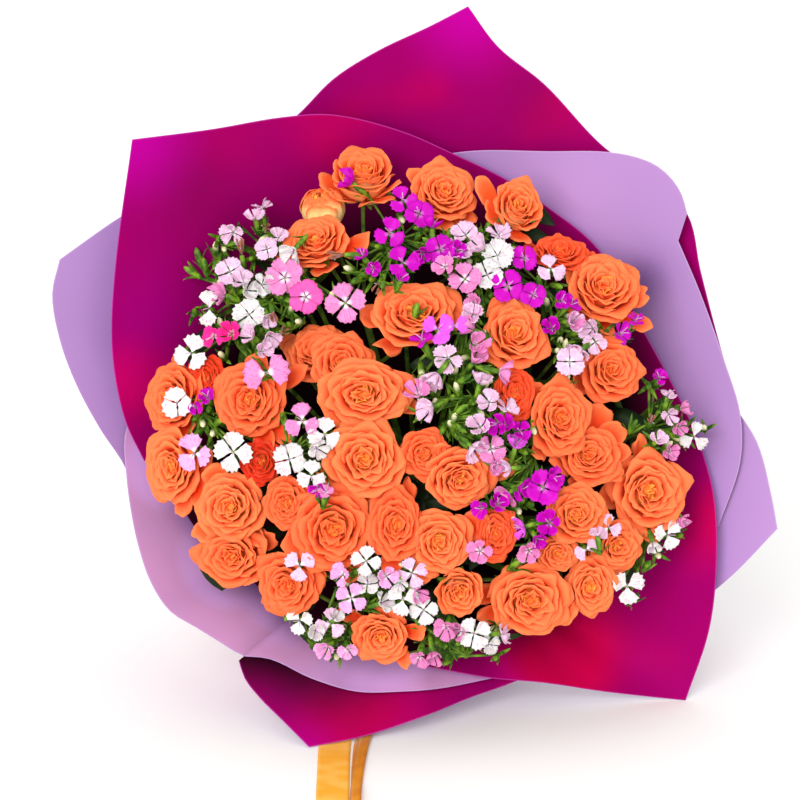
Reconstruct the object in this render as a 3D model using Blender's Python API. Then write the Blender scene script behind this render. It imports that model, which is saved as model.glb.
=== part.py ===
"""Hand-tied bouquet of orange garden roses and sweet williams in two-tone wrapping film, laid on its side.

The layout is written in the frame of the bouquet's face, in millimetres: ACROSS runs to the right, UP runs
up the face and OUT runs out of the flowers towards whoever looks at them. The places are those seen by
somebody LOOK_DISTANCE away, so a point further back is spread a little wider. The part's own frame has +Z
up: the bouquet lies on the lower corners of its wrap, on the wrap's skirt and on the ends of its stems, and
its face looks up by FACE_RISE.
"""

import math

import bpy
from mathutils import Matrix, Vector

MM = 0.001
FACE_RISE = math.radians(15)
LOOK_DISTANCE = 2500

TIE = Vector((14, -78))  # where the stems are bound, across and up
TIE_OUT = -270  # front of the binding
TIE_BACK = -290  # and its back; the stems run side by side between the two
HEADS_OUT = -50  # depth at which a stem stands straight behind its own head
STEM_END_OUT = -470
GAP = 0.6  # clearance left between bodies that touch in the real bunch

# The face of the bouquet is a shallow dome.
DOME_CENTRE = Vector((0, -54))
DOME_TOP = 30
DOME_RADIUS = 240

ROSE_STEM_RADIUS = 2.6
ROSE_PEDICEL_RADIUS = 1.5
DIANTHUS_STEM_RADIUS = 1.7
DIANTHUS_TOP_RADIUS = 2.2
FORK_BITE = 1.5  # how far the pedicels start inside the top of their stem
ROSE_FORK_DEPTH = 62  # from a spray's deepest bloom back to its fork
DIANTHUS_FORK_DEPTH = 24
BLOOM_FULLNESS = 0.74  # solid body of a bloom compared with its outer petals
# A bloom's solid body: how far along its axis each ring lies and how wide it is, as parts of its half width.
BLOOM_RINGS = [(-1.05, 0.12), (-0.85, 0.36), (-0.45, 0.74), (-0.12, 0.69), (0.06, 0.42)]
FLORET_RADIUS = 10
FLORET_THROAT = 11  # length of a floret's cone
FLORET_PROUD = 5  # how far florets stand out of the dome
FLORET_OUTWARD = 1.2  # pull of the dome's own direction on the way a floret faces
BUNDLE_SHRINK = 0.075  # the pattern of the heads, drawn together at the tie
FAN_POWER = 1.15  # a stem leaves the tie a little straighter than it arrives at its head
END_SPREAD = 0.7  # how much wider the stems stand at their cut ends than at the tie

# Each rose: across, up, width of the bloom, lean to the right, lean upwards (degrees) and how far it is sunk.
ROSE_SPRAYS = {
    1: [(-26, 155, 45, 0, 22, 0), (-55, 131, 33, -5, 20, 4), (-57, 106, 46, -15, 10, 0)],
    2: [(30, 142, 45, 0, -25, 0), (79, 132, 43, 15, -10, 0), (109, 101, 41, 0, 10, 8)],
    3: [(139, 77, 54, 0, -15, 0), (145, 21, 45, 5, 0, 0), (80, 47, 50, -10, -20, 0)],
    4: [(9, 57, 62, 0, 15, 0), (-59, 39, 42, -5, -5, 6), (-39, 28, 44, 0, -10, 4)],
    5: [(-24, 5, 64, 0, -22, 0), (-24, -39, 55, 0, 0, 0), (17, -36, 35, 0, 0, 8), (42, -56, 46, 5, 0, 0)],
    6: [(-103, 1, 50, 5, 0, 0), (-155, 1, 50, -10, 0, 0), (-133, 16, 27, 0, 0, 16)],
    7: [(-155, -47, 52, -10, 0, 0), (-117, -72, 52, 0, 5, 0), (-77, -70, 34, 0, 0, 4),
        (-94, -43, 30, 0, 0, 16)],
    8: [(-114, -105, 48, -5, -10, 0), (-78, -125, 45, -5, -15, 0), (-11, -161, 43, -10, -10, 0)],
    9: [(-45, -88, 57, 0, 0, 0), (-3, -85, 45, 25, 0, 0), (30, -95, 44, 0, 0, 0), (63, -91, 31, 0, 0, 10)],
    10: [(40, -130, 36, 0, -30, 4), (89, -136, 56, 0, 10, 0), (130, -127, 40, 5, 0, 0),
         (107, -105, 31, 0, 0, 10)],
    11: [(120, -79, 44, 0, 15, 0), (149, -99, 36, 5, 0, 4), (170, -62, 57, 5, 0, 0)],
    12: [(110, -12, 48, 0, 0, 0), (127, -36, 42, 0, 0, 10), (79, 5, 30, 0, 0, 12)],
}

# Each sweet william stem: its main florets, across and up.
DIANTHUS_STEMS = {
    1: [(-112, 114), (-93, 129), (-86, 108), (-80, 97)],
    2: [(-128, 70), (-110, 84), (-130, 53), (-101, 60)],
    3: [(-78, 83), (-64, 72), (-86, 62)],
    4: [(-141, 36), (-114, 45), (-96, 40), (-82, 20)],
    5: [(6, 131), (-7, 112), (5, 94), (26, 112), (-25, 88)],
    6: [(44, 112), (39, 92), (67, 112), (59, 86)],
    7: [(84, 96), (103, 62), (91, 75), (110, 76)],
    8: [(106, 48), (115, 32), (106, 20)],
    9: [(31, 32), (49, 44), (34, 17), (51, 25)],
    10: [(12, 8), (55, 5), (61, -22), (21, -8), (44, -10)],
    11: [(77, -25), (100, -56), (81, -60), (66, -72), (61, -45)],
    12: [(178, 12), (184, -14), (196, -33), (172, -28)],
    13: [(-129, -12), (-113, -33), (-91, -27), (-135, -30)],
    14: [(-76, -38), (-55, -28), (-56, -58)],
    15: [(-39, -122), (-20, -116), (-5, -128), (8, -120), (16, -142)],
    16: [(-66, -148), (-49, -152), (-38, -167), (-52, -167)],
    17: [(26, -156), (47, -158), (60, -164), (14, -173)],
    18: [(58, -106), (83, -84), (98, -80), (83, -103)],
    19: [(180, -88), (172, -99), (154, -124), (164, -112)],
}

# The inner face of the wrap in the directions round the tie (degrees, 0 is across): how far out the flowers
# reach, how deep the film lies there, and how much it rises for each millimetre further out.
WRAP_PROFILE = [
    (0, 188, -84, 0.60),
    (45, 232, -97, 0.65),
    (90, 262, -98, 0.65),
    (128, 238, -72, 0.70),
    (170, 200, -66, 0.70),
    (215, 145, -52, 0.80),
    (245, 111, -50, 0.87),
    (272, 103, -52, 0.82),
    (300, 112, -82, 0.35),
    (326, 145, -126, 0.15),
]
WRAP_TIE_RADIUS = 19
FILM = 0.6  # thickness of the film's solid
LAYER_PITCH = 1.5  # from one sheet to the next at the tie
LAYER_SPREAD = 0.022  # and how much further apart they stand for each millimetre out
SKIRT = [(-400, 11), (-340, 4), (TIE_BACK, 0)]  # depth of the skirt behind the tie, and its extra radius
SLANT_STEPS = [0.0, 0.13, 0.32, 0.55, 0.78, 1.0]  # from the tie to the rim

# Rims of the film sheets, across and up, clockwise as they are seen, with the layer they lie in.
SHEETS = {
    "inner_sheet": (0, [
        (-173, -41), (-185, -16), (-195, 41), (-193, 85), (-181, 176), (-127, 183), (-80, 191), (-48, 193),
        (0, 182), (37, 166), (70, 150), (96, 133), (134, 102), (165, 46), (187, 5), (203, -31), (213, -90),
        (209, -155), (193, -203), (138, -197), (97, -191), (62, -188), (17, -180)]),
    "front_inner_sheet": (1, [
        (27, -181), (0, -179), (-37, -172), (-82, -149), (-109, -123), (-139, -98), (-159, -68),
        (-176, -27)]),
    "front_bottom_sheet": (2, [
        (81, -184), (62, -188), (26, -195), (0, -197), (-29, -197), (-60, -188), (-88, -175), (-107, -173)]),
    "right_sheet": (2, [
        (-20, 150), (37, 167), (103, 168), (150, 167), (182, 149), (194, 126), (189, 108), (207, 61),
        (219, 27), (230, -10), (230, -41), (215, -86)]),
    "front_left_sheet": (3, [
        (-93, -170), (-124, -163), (-151, -147), (-169, -122), (-179, -93), (-184, -57), (-186, -25),
        (-184, -17)]),
    "right_corner_sheet": (3, [
        (223, 0), (241, -28), (251, -65), (255, -87), (224, -119), (196, -142)]),
    "left_sheet": (4, [
        (-179, -68), (-185, -47), (-203, -19), (-219, 11), (-230, 41), (-235, 72), (-230, 95), (-187, 125),
        (-169, 135)]),
    "back_sheet": (4, [
        (-101, 169), (-70, 192), (-45, 217), (-15, 236), (21, 253), (46, 266), (66, 239), (97, 214),
        (139, 170), (169, 150), (194, 126), (203, 88), (217, 34), (230, -10), (233, -27)]),
    "bottom_tip_sheet": (4, [
        (95, -182), (76, -191), (48, -201), (21, -212), (-24, -227), (-61.5, -234.5), (-80, -216),
        (-95, -201), (-105, -188), (-109, -176)]),
}

LILAC_INSIDE = ("front_bottom_sheet", "right_sheet", "front_left_sheet", "right_corner_sheet", "left_sheet")

STEM_SWAY = Vector((-8, 3))  # how far the cut ends lie from the line of the tie
STEM_TWIST = math.radians(50)
TAPE_RADIUS, TAPE_WALL = 16.7, 0.8
RIBBON_FRONT, RIBBON_BACK = -275, -297
RIBBON_THICKNESS = 0.5
BAND_RADIUS = 27
KNOT_ANGLE = math.radians(235)
KNOT_RADIUS = 33  # distance of the knot from the line of the tie
KNOT_THICKNESS = 5.2  # and its own radius
KNOT_SHOULDER = 6
BOW_LENGTH, BOW_SWELL = 58, 9
BOW_STEPS = 14
BOW_START = 6.5  # from the middle of the knot to the tip of a loop
# Ribbon tails, from the knot to the surface below and forwards along it: across, out, height above that
# surface, and the width that is left where the satin curls along its length.
TAILS = {
    "ribbon_tail_left": [
        (-11, -286, 40, 22), (-14, -270, 26, 22), (-18, -250, 11, 22), (-23, -224, 2, 22),
        (-30, -180, 0.3, 22), (-38, -110, 0.3, 22), (-44, -40, 0.3, 22), (-44.5, 30, 0.3, 22),
        (-44, 105, 0.3, 22)],
    "ribbon_tail_right": [
        (-5, -262, 38, 18), (-1, -250, 22, 20), (4, -232, 9, 20), (6, -205, 2, 20), (0, -165, 0.3, 18),
        (-14, -100, 0.3, 14), (-25, -40, 0.3, 11), (-28, 10, 0.3, 9), (-29, 60, 0.3, 7), (-29, 105, 0.3, 7)],
}

ROSE_ORANGE = ("orange rose petals", (0.95, 0.25, 0.05), 0.55)
STEM_GREEN = ("green stems and small florets", (0.55, 0.10, 0.42), 0.6)
MAGENTA_FILM = ("magenta and lilac matte film", (0.45, 0.0, 0.20), 0.45)
LILAC_FILM = ("lilac and magenta matte film", (0.52, 0.30, 0.62), 0.45)
TIE_TAPE = ("green floral tape", (0.08, 0.18, 0.06), 0.7)
RIBBON_SATIN = ("amber satin ribbon", (0.90, 0.36, 0.02), 0.35)


def turned(across, up, out):
    """A direction or a length of the face frame, in the part's frame."""
    return Vector((
        across,
        up * math.sin(FACE_RISE) - out * math.cos(FACE_RISE),
        up * math.cos(FACE_RISE) + out * math.sin(FACE_RISE),
    ))


def place(across, up, out):
    """A point of the face as seen from LOOK_DISTANCE, in the part's frame and in metres."""
    spread = (LOOK_DISTANCE - out) / LOOK_DISTANCE
    return turned(across * spread, up * spread, out) * MM


def on_surface(across, out, floor, height):
    """A point at a height over the surface that the bouquet lies on, whose level is floor, in metres."""
    up = (floor / MM + height - out * math.sin(FACE_RISE)) / math.cos(FACE_RISE)
    return turned(across, up, out) * MM


def dome_out(across, up):
    return DOME_TOP - (Vector((across, up)) - DOME_CENTRE).length_squared / (2 * DOME_RADIUS)


def clear_scene():
    for item in list(bpy.data.objects):
        bpy.data.objects.remove(item, do_unlink=True)


def principled(look):
    name, colour, roughness = look
    material = bpy.data.materials.new(name)
    material.use_nodes = True
    shader = material.node_tree.nodes["Principled BSDF"]
    shader.inputs["Base Color"].default_value = (*colour, 1)
    shader.inputs["Roughness"].default_value = roughness
    shader.inputs["Metallic"].default_value = 0
    return material


def new_object(name, mesh, look=None):
    item = bpy.data.objects.new(name, mesh)
    bpy.context.collection.objects.link(item)
    if look:
        mesh.materials.clear()
        mesh.materials.append(principled(look))
    return item


def tube(points, radii, sides):
    """A closed body of rings round a line of points: a stem, a cone or a turned bloom."""
    verts = []
    side_way = None
    for i, point in enumerate(points):
        along = points[min(i + 1, len(points) - 1)] - points[max(i - 1, 0)]
        along.normalize()
        if side_way is None:
            side_way = along.orthogonal().normalized()
        side_way = (side_way - along * side_way.dot(along)).normalized()
        other_way = along.cross(side_way)
        for k in range(sides):
            turn = 2 * math.pi * k / sides
            spoke = side_way * math.cos(turn) + other_way * math.sin(turn)
            verts.append(point + spoke * radii[i] * MM)
    faces = [list(range(sides))[::-1], [len(verts) - sides + k for k in range(sides)]]
    for ring in range(len(points) - 1):
        low, high = ring * sides, (ring + 1) * sides
        for k in range(sides):
            after = (k + 1) % sides
            faces.append((low + k, low + after, high + after, high + k))
    mesh = bpy.data.meshes.new("tube")
    mesh.from_pydata(verts, [], faces)
    return mesh


def union(name, meshes, look):
    """One closed body out of overlapping ones."""
    whole = new_object(name, meshes[0])
    for mesh in meshes[1:]:
        tool = new_object("tool", mesh)
        tool.hide_render = True
        tool.display_type = "WIRE"
        join = whole.modifiers.new("join", "BOOLEAN")
        join.operation = "UNION"
        join.solver = "EXACT"
        join.object = tool
        bpy.context.view_layer.update()
        joined = bpy.data.meshes.new_from_object(whole.evaluated_get(bpy.context.evaluated_depsgraph_get()))
        whole.modifiers.clear()
        whole.data = joined
        bpy.data.objects.remove(tool, do_unlink=True)
    whole.data.name = name
    whole.data.materials.clear()
    whole.data.materials.append(principled(look))
    whole.data.shade_smooth()
    whole.data.set_sharp_from_angle(angle=math.radians(40))
    return whole


def head_centre(spots):
    return sum((Vector(spot[:2]) for spot in spots), Vector((0, 0))) / len(spots)


def bundle_places(heads, radii):
    """Where each stem passes the tie: the heads' own pattern, shrunk and pushed apart until none touch."""
    centre = sum(heads, Vector((0, 0))) / len(heads)
    spots = [(head - centre) * BUNDLE_SHRINK for head in heads]
    for _ in range(200):
        for i in range(len(spots)):
            spots[i] = spots[i] * 0.995
            for j in range(i):
                apart = spots[i] - spots[j]
                short = radii[i] + radii[j] + GAP - apart.length
                if short > 0:
                    push = apart.normalized() * short / 2
                    spots[i] = spots[i] + push
                    spots[j] = spots[j] - push
    return spots


def stem_line(head, spot, top_out, bottom_out):
    """The line of one stem from its cut end, through the tie, to just under its head."""
    line = []
    for step in (1.0, 0.5, 0.0):
        out = TIE_BACK + (bottom_out - TIE_BACK) * step
        behind = (TIE_BACK - out) / (TIE_BACK - STEM_END_OUT)
        twisted = Matrix.Rotation(STEM_TWIST * behind, 2) @ spot
        at = TIE + STEM_SWAY * behind + twisted * (1 + END_SPREAD * behind)
        line.append(place(at.x, at.y, out))
    for step in (0.0, 0.2, 0.5, 0.8, 1.0):
        out = TIE_OUT + (top_out - TIE_OUT) * step
        fanned = ((out - TIE_OUT) / (HEADS_OUT - TIE_OUT)) ** FAN_POWER
        at = (TIE + spot) * (1 - fanned) + head * fanned
        line.append(place(at.x, at.y, out))
    return line


def bloom_axis(rose):
    """The way a bloom faces: out of the dome, and leaning its own way."""
    across, up, _, lean_right, lean_up, _ = rose
    away = Vector((across, up)) - DOME_CENTRE
    faces = Vector((away.x / DOME_RADIUS, away.y / DOME_RADIUS, 1)).normalized()
    right = Matrix.Rotation(math.radians(lean_right), 3, "Y")
    rise = Matrix.Rotation(math.radians(-lean_up), 3, "X")
    return right @ rise @ faces


def settled_depths(roses):
    """How deep each bloom lies, after those that would share a space have slid behind their neighbours."""
    depths = [dome_out(rose[0], rose[1]) - rose[5] for rose in roses]
    for _ in range(120):
        for i in range(len(roses)):
            for j in range(i):
                flat = Vector(roses[i][:2]) - Vector(roses[j][:2])
                room = (roses[i][2] + roses[j][2]) / 2 * BLOOM_FULLNESS + GAP
                back = i if depths[i] < depths[j] else j
                if math.hypot(flat.length, depths[i] - depths[j]) < room:
                    depths[back] -= 1
    return depths


def bloom_meshes(rose, depth, fork):
    """The solid heart of a bloom and the pedicel that carries it."""
    across, up, width = rose[:3]
    reach = width / 2
    face = place(across, up, depth)
    axis = turned(*bloom_axis(rose))
    points = [face + axis * reach * along * MM for along, _ in BLOOM_RINGS]
    heart = tube(points, [reach * wide for _, wide in BLOOM_RINGS], 7)
    foot = face - axis * reach * 0.95 * MM
    pedicel = tube([fork, foot], [ROSE_PEDICEL_RADIUS, ROSE_PEDICEL_RADIUS], 5)
    return [pedicel, heart]


def rose_spray(name, roses, depths, head, spot):
    fork_out = min(depths) - ROSE_FORK_DEPTH
    line = stem_line(head, spot, fork_out, STEM_END_OUT + 6 * (len(roses) % 3))
    stem = tube(line, [ROSE_STEM_RADIUS] * len(line), 6)
    fork = line[-1] - (line[-1] - line[-2]).normalized() * FORK_BITE * MM
    pieces = [stem]
    for rose, depth in zip(roses, depths):
        pieces += bloom_meshes(rose, depth, fork)
    return union(name, pieces, ROSE_ORANGE)


def floret_mesh(across, up, fork):
    """One floret as a shallow cone on its own thin pedicel."""
    face = place(across, up, dome_out(across, up) + FLORET_PROUD)
    axis = (face - fork).normalized()
    outward = turned(*bloom_axis((across, up, 0, 0, 0, 0)))
    axis = (axis + outward * FLORET_OUTWARD).normalized()
    points = [fork, face - axis * FLORET_THROAT * MM, face]
    return tube(points, [1.0, 1.5, FLORET_RADIUS], 5)


def dianthus_stem(name, florets, head, spot):
    fork_out = dome_out(head.x, head.y) - DIANTHUS_FORK_DEPTH
    line = stem_line(head, spot, fork_out, STEM_END_OUT + 5 * (len(florets) % 4) + 4)
    stem = tube(line, [DIANTHUS_STEM_RADIUS] * (len(line) - 1) + [DIANTHUS_TOP_RADIUS], 5)
    fork = line[-1] - (line[-1] - line[-2]).normalized() * FORK_BITE * MM
    pieces = [stem] + [floret_mesh(across, up, fork) for across, up in florets]
    return union(name, pieces, STEM_GREEN)


def wrap_profile(angle):
    """The wrap's profile in one direction round the tie, eased between the directions that are given."""
    angle %= 360
    for i, low in enumerate(WRAP_PROFILE):
        high = WRAP_PROFILE[(i + 1) % len(WRAP_PROFILE)]
        span = (high[0] - low[0]) % 360
        ahead = angle - low[0]
        if 0 <= ahead < span:
            part = ahead / span
            ease = part * part * (3 - 2 * part)
            return [a + (b - a) * ease for a, b in zip(low[1:], high[1:])]
    raise ValueError(angle)


def wrap_depth(angle, radius):
    """Depth of the wrap's inner face, and how steeply it rises there."""
    reach, depth, slope = wrap_profile(angle)
    span = reach - WRAP_TIE_RADIUS
    if radius > reach:
        return depth + slope * (radius - reach), slope
    bend = slope * span - (depth - TIE_OUT)
    lead = (depth - TIE_OUT) - bend
    part = (radius - WRAP_TIE_RADIUS) / span
    return TIE_OUT + lead * part + bend * part * part, (lead + 2 * bend * part) / span


def sheet_point(angle, radius, layer):
    """A point of one film layer, which lies outside the layers before it."""
    around = Vector((math.cos(math.radians(angle)), math.sin(math.radians(angle))))
    inner = radius
    for _ in range(4):
        depth, slope = wrap_depth(angle, inner)
        lean = math.hypot(1, slope)
        apart = layer * (LAYER_PITCH + LAYER_SPREAD * (inner - WRAP_TIE_RADIUS))
        inner = max(WRAP_TIE_RADIUS, radius - apart * slope / lean)
    at = TIE + around * radius
    return place(at.x, at.y, depth - apart / lean)


def skirt_point(angle, out, extra, layer):
    around = Vector((math.cos(math.radians(angle)), math.sin(math.radians(angle))))
    behind = (TIE_BACK - out) / (TIE_BACK - STEM_END_OUT)
    at = TIE + STEM_SWAY * behind
    at = at + around * (WRAP_TIE_RADIUS + extra + layer * LAYER_PITCH)
    return place(at.x, at.y, out)


def film_sheet(name, layer, rim, look):
    """One sheet of film: a skirt, gathered at the tie and fanned out to its rim, then given its thickness."""
    verts = []
    for across, up in rim:
        spoke = Vector((across, up)) - TIE
        angle = math.degrees(math.atan2(spoke.y, spoke.x))
        tie_radius = WRAP_TIE_RADIUS + layer * LAYER_PITCH
        for out, extra in SKIRT:
            verts.append(skirt_point(angle, out, extra, layer))
        for step in SLANT_STEPS:
            radius = tie_radius + (spoke.length - tie_radius) * step
            verts.append(sheet_point(angle, radius, layer))
    rows = len(SKIRT) + len(SLANT_STEPS)
    faces = []
    for column in range(len(rim) - 1):
        for row in range(rows - 1):
            near = column * rows + row
            faces.append((near, near + rows, near + rows + 1, near + 1))
    mesh = bpy.data.meshes.new(name)
    mesh.from_pydata(verts, [], faces)
    item = new_object(name, mesh, look)
    thick = item.modifiers.new("film thickness", "SOLIDIFY")
    thick.thickness = FILM * MM
    thick.offset = 0
    mesh.shade_smooth()
    return item


def strip(name, rings, closed, look):
    """A flat band of four-cornered sections: a ring when closed, or a length with two cut ends."""
    verts = [corner for ring in rings for corner in ring]
    faces = []
    for k in range(len(rings) if closed else len(rings) - 1):
        here, after = 4 * k, 4 * ((k + 1) % len(rings))
        for a, b in ((0, 1), (1, 2), (2, 3), (3, 0)):
            faces.append((here + a, here + b, after + b, after + a))
    if not closed:
        faces += [(3, 2, 1, 0), tuple(len(verts) - 4 + k for k in range(4))]
    mesh = bpy.data.meshes.new(name)
    mesh.from_pydata(verts, [], faces)
    mesh.shade_smooth()
    mesh.set_sharp_from_angle(angle=math.radians(50))
    return new_object(name, mesh, look)


def flat_band(name, line, wall, front, back, look):
    """A closed band through points across and up; its width runs from front to back along the stems."""
    rings = []
    for k, at in enumerate(line):
        along = (line[(k + 1) % len(line)] - line[k - 1]).normalized()
        aside = Vector((along.y, -along.x)) * wall / 2
        rings.append([
            place(*(at - aside), back), place(*(at - aside), front),
            place(*(at + aside), front), place(*(at + aside), back)])
    return strip(name, rings, True, look)


def circle(radius, sides):
    turns = [2 * math.pi * k / sides for k in range(sides)]
    return [TIE + Vector((math.cos(turn), math.sin(turn))) * radius for turn in turns]


def knot():
    """The lump of ribbon outside the band, at its lower left."""
    spoke = Vector((math.cos(KNOT_ANGLE), math.sin(KNOT_ANGLE)))
    at = TIE + spoke * KNOT_RADIUS
    ends = [RIBBON_BACK - 1, RIBBON_FRONT + 1]
    depths = [ends[0], ends[0] + KNOT_SHOULDER, ends[1] - KNOT_SHOULDER, ends[1]]
    thick = [KNOT_THICKNESS * part for part in (0.6, 1, 1, 0.6)]
    mesh = tube([place(at.x, at.y, out) for out in depths], thick, 8)
    mesh.shade_smooth()
    return new_object("ribbon_knot", mesh, RIBBON_SATIN)


def bow_loop(name, side):
    """A teardrop loop of ribbon that leaves the knot along the band's tangent."""
    spoke = Vector((math.cos(KNOT_ANGLE), math.sin(KNOT_ANGLE)))
    tangent = Vector((-spoke.y, spoke.x)) * side
    start = TIE + spoke * KNOT_RADIUS + tangent * BOW_START
    line = []
    for k in range(BOW_STEPS):
        turn = 2 * math.pi * (k + 0.5) / BOW_STEPS
        reach = BOW_LENGTH * (1 - math.cos(turn)) / 2
        swell = BOW_SWELL * math.sin(turn) * (0.25 + 0.75 * reach / BOW_LENGTH)
        line.append(start + tangent * reach + spoke * swell * side)
    return flat_band(name, line, RIBBON_THICKNESS, RIBBON_FRONT, RIBBON_BACK, RIBBON_SATIN)


def ribbon_tail(name, route, floor):
    """A tail that drops from the knot and runs forward along the surface."""
    rings = []
    points = [on_surface(across, out, floor, height) for across, out, height, _ in route]
    for k, (point, stop) in enumerate(zip(points, route)):
        along = (points[min(k + 1, len(points) - 1)] - points[max(k - 1, 0)]).normalized()
        level = Vector((0, 0, 1)).cross(along).normalized()
        wide = level * stop[3] / 2 * MM
        thick = wide.cross(along).normalized() * RIBBON_THICKNESS / 2 * MM
        rings.append([point - wide - thick, point - wide + thick, point + wide + thick, point + wide - thick])
    return strip(name, rings, False, RIBBON_SATIN)


def lowest(items):
    return min((item.matrix_world @ vertex.co).z for item in items for vertex in item.data.vertices)


def centre_on_base():
    """Hangs every piece on one empty, placed so that the origin is at the middle of the base."""
    bpy.context.view_layer.update()
    graph = bpy.context.evaluated_depsgraph_get()
    pieces = [item for item in bpy.data.objects if item.type == "MESH"]
    corners = [Vector(corner) for item in pieces for corner in item.evaluated_get(graph).bound_box]
    low = Vector([min(corner[axis] for corner in corners) for axis in range(3)])
    high = Vector([max(corner[axis] for corner in corners) for axis in range(3)])
    bouquet = bpy.data.objects.new("bouquet", None)
    bpy.context.collection.objects.link(bouquet)
    bouquet.location = (-(low.x + high.x) / 2, -(low.y + high.y) / 2, -low.z)
    for item in pieces:
        item.parent = bouquet


def build():
    clear_scene()
    roses = [rose for spray in ROSE_SPRAYS.values() for rose in spray]
    depths = settled_depths(roses)
    heads = [head_centre(spots) for spots in (*ROSE_SPRAYS.values(), *DIANTHUS_STEMS.values())]
    radii = [ROSE_STEM_RADIUS] * len(ROSE_SPRAYS) + [DIANTHUS_STEM_RADIUS] * len(DIANTHUS_STEMS)
    spots = bundle_places(heads, radii)
    first = 0
    for number, spray in ROSE_SPRAYS.items():
        order = number - 1
        after = first + len(spray)
        rose_spray(f"rose_spray_{number:02d}", spray, depths[first:after], heads[order], spots[order])
        first = after
    for number, florets in DIANTHUS_STEMS.items():
        order = len(ROSE_SPRAYS) + number - 1
        dianthus_stem(f"sweet_william_stem_{number:02d}", florets, heads[order], spots[order])
    sheets = []
    for name, (layer, rim) in SHEETS.items():
        look = LILAC_FILM if name in LILAC_INSIDE else MAGENTA_FILM
        sheets.append(film_sheet(name, layer, rim, look))
    tape_line = circle(TAPE_RADIUS + TAPE_WALL / 2, 20)
    flat_band("stem_tie", tape_line, TAPE_WALL, TIE_OUT, TIE_BACK, TIE_TAPE)
    band_line = circle(BAND_RADIUS, 24)
    flat_band("ribbon_band", band_line, RIBBON_THICKNESS, RIBBON_FRONT, RIBBON_BACK, RIBBON_SATIN)
    knot()
    bow_loop("ribbon_loop_left", -1)
    bow_loop("ribbon_loop_right", 1)
    floor = lowest(sheets)
    for name, route in TAILS.items():
        ribbon_tail(name, route, floor)
    centre_on_base()


build()
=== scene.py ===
"""Looks of a hand-tied bouquet of garden roses and sweet williams in two-tone film, lying on its side.

The layout is written in the frame of the bouquet's face, in millimetres: ACROSS runs to the right, UP runs
up the face and OUT runs out of the flowers towards whoever looks at them from LOOK_DISTANCE away. place()
turns such a point into metres of the part's own frame, where +Z is up.
"""

import math
import random

import bmesh
import bpy
from bpy.props import FloatProperty, FloatVectorProperty, IntProperty, PointerProperty
from mathutils import Matrix, Vector
from mathutils.geometry import interpolate_bezier


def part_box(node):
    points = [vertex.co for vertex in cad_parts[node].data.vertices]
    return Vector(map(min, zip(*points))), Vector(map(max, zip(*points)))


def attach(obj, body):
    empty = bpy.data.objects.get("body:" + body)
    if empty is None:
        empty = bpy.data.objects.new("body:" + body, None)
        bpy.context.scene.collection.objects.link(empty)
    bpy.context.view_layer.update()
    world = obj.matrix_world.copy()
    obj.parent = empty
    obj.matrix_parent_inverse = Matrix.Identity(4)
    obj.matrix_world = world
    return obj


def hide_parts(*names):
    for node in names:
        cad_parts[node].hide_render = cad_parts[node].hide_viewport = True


bl_info = {
    "name": "Garden rose bouquet",
    "version": (1, 0, 0),
    "blender": (4, 5, 0),
    "location": "View3D > Sidebar > Bouquet",
    "description": "Flowers, film and ribbon of a hand-tied bouquet, built on its frame",
    "category": "Add Mesh",
}

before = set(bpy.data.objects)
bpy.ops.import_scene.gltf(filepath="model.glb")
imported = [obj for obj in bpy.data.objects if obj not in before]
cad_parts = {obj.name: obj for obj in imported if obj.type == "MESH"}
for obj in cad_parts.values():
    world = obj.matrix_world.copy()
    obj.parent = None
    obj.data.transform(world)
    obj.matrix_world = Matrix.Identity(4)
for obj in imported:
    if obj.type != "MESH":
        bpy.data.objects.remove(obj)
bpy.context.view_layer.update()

MM = 0.001
FACE_RISE = math.radians(15)
LOOK_DISTANCE = 2500
VIEW_SIDE = 540.5  # side of the square that the camera takes in at the face
LAMP_FROM = (-600, 220, 2300)  # the side that the light comes from: across, up and out
FLOOR_HALF = 15  # half the side of the floor in metres

TIE = Vector((14, -78))  # where the stems are bound, across and up
TIE_OUT, TIE_BACK = -270, -290  # front and back of the binding
TAPE_OUTSIDE = 17.5
TAPE_SIDES = 20
HEADS_OUT = -50  # depth at which a stem stands straight behind its own head
STEM_END_OUT = -470
GAP = 0.6
FILM_CLEARANCE = 6  # room that leaves, calyxes and buds keep in front of the film

# The face of the bouquet is a shallow dome.
DOME_CENTRE = Vector((0, -54))
DOME_TOP = 30
DOME_RADIUS = 240

ROSE_STEM_RADIUS = 2.6
DIANTHUS_STEM_RADIUS = 1.7
ROSE_FORK_DEPTH = 62  # how far behind its blooms a stem forks
DIANTHUS_FORK_DEPTH = 24
BLOOM_FULLNESS = 0.64  # the part of their widths within which two blooms would share a space
BLOOM_REACH = 1.11  # half widths that a unit of a petal's side line stands for
FACING = 0.42  # how much of the dome's slope the blooms follow
BUNDLE_SHRINK = 0.075  # how closely the pattern of the heads is drawn together at the tie
FAN_POWER = 1.15  # how the stems bend as they fan out from the tie to the heads
# Behind the tie the stems spread again, drift to one side and turn about each other.
END_SPREAD = 0.7
STEM_SWAY = Vector((-8, 3))
STEM_TWIST = math.radians(50)

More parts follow.
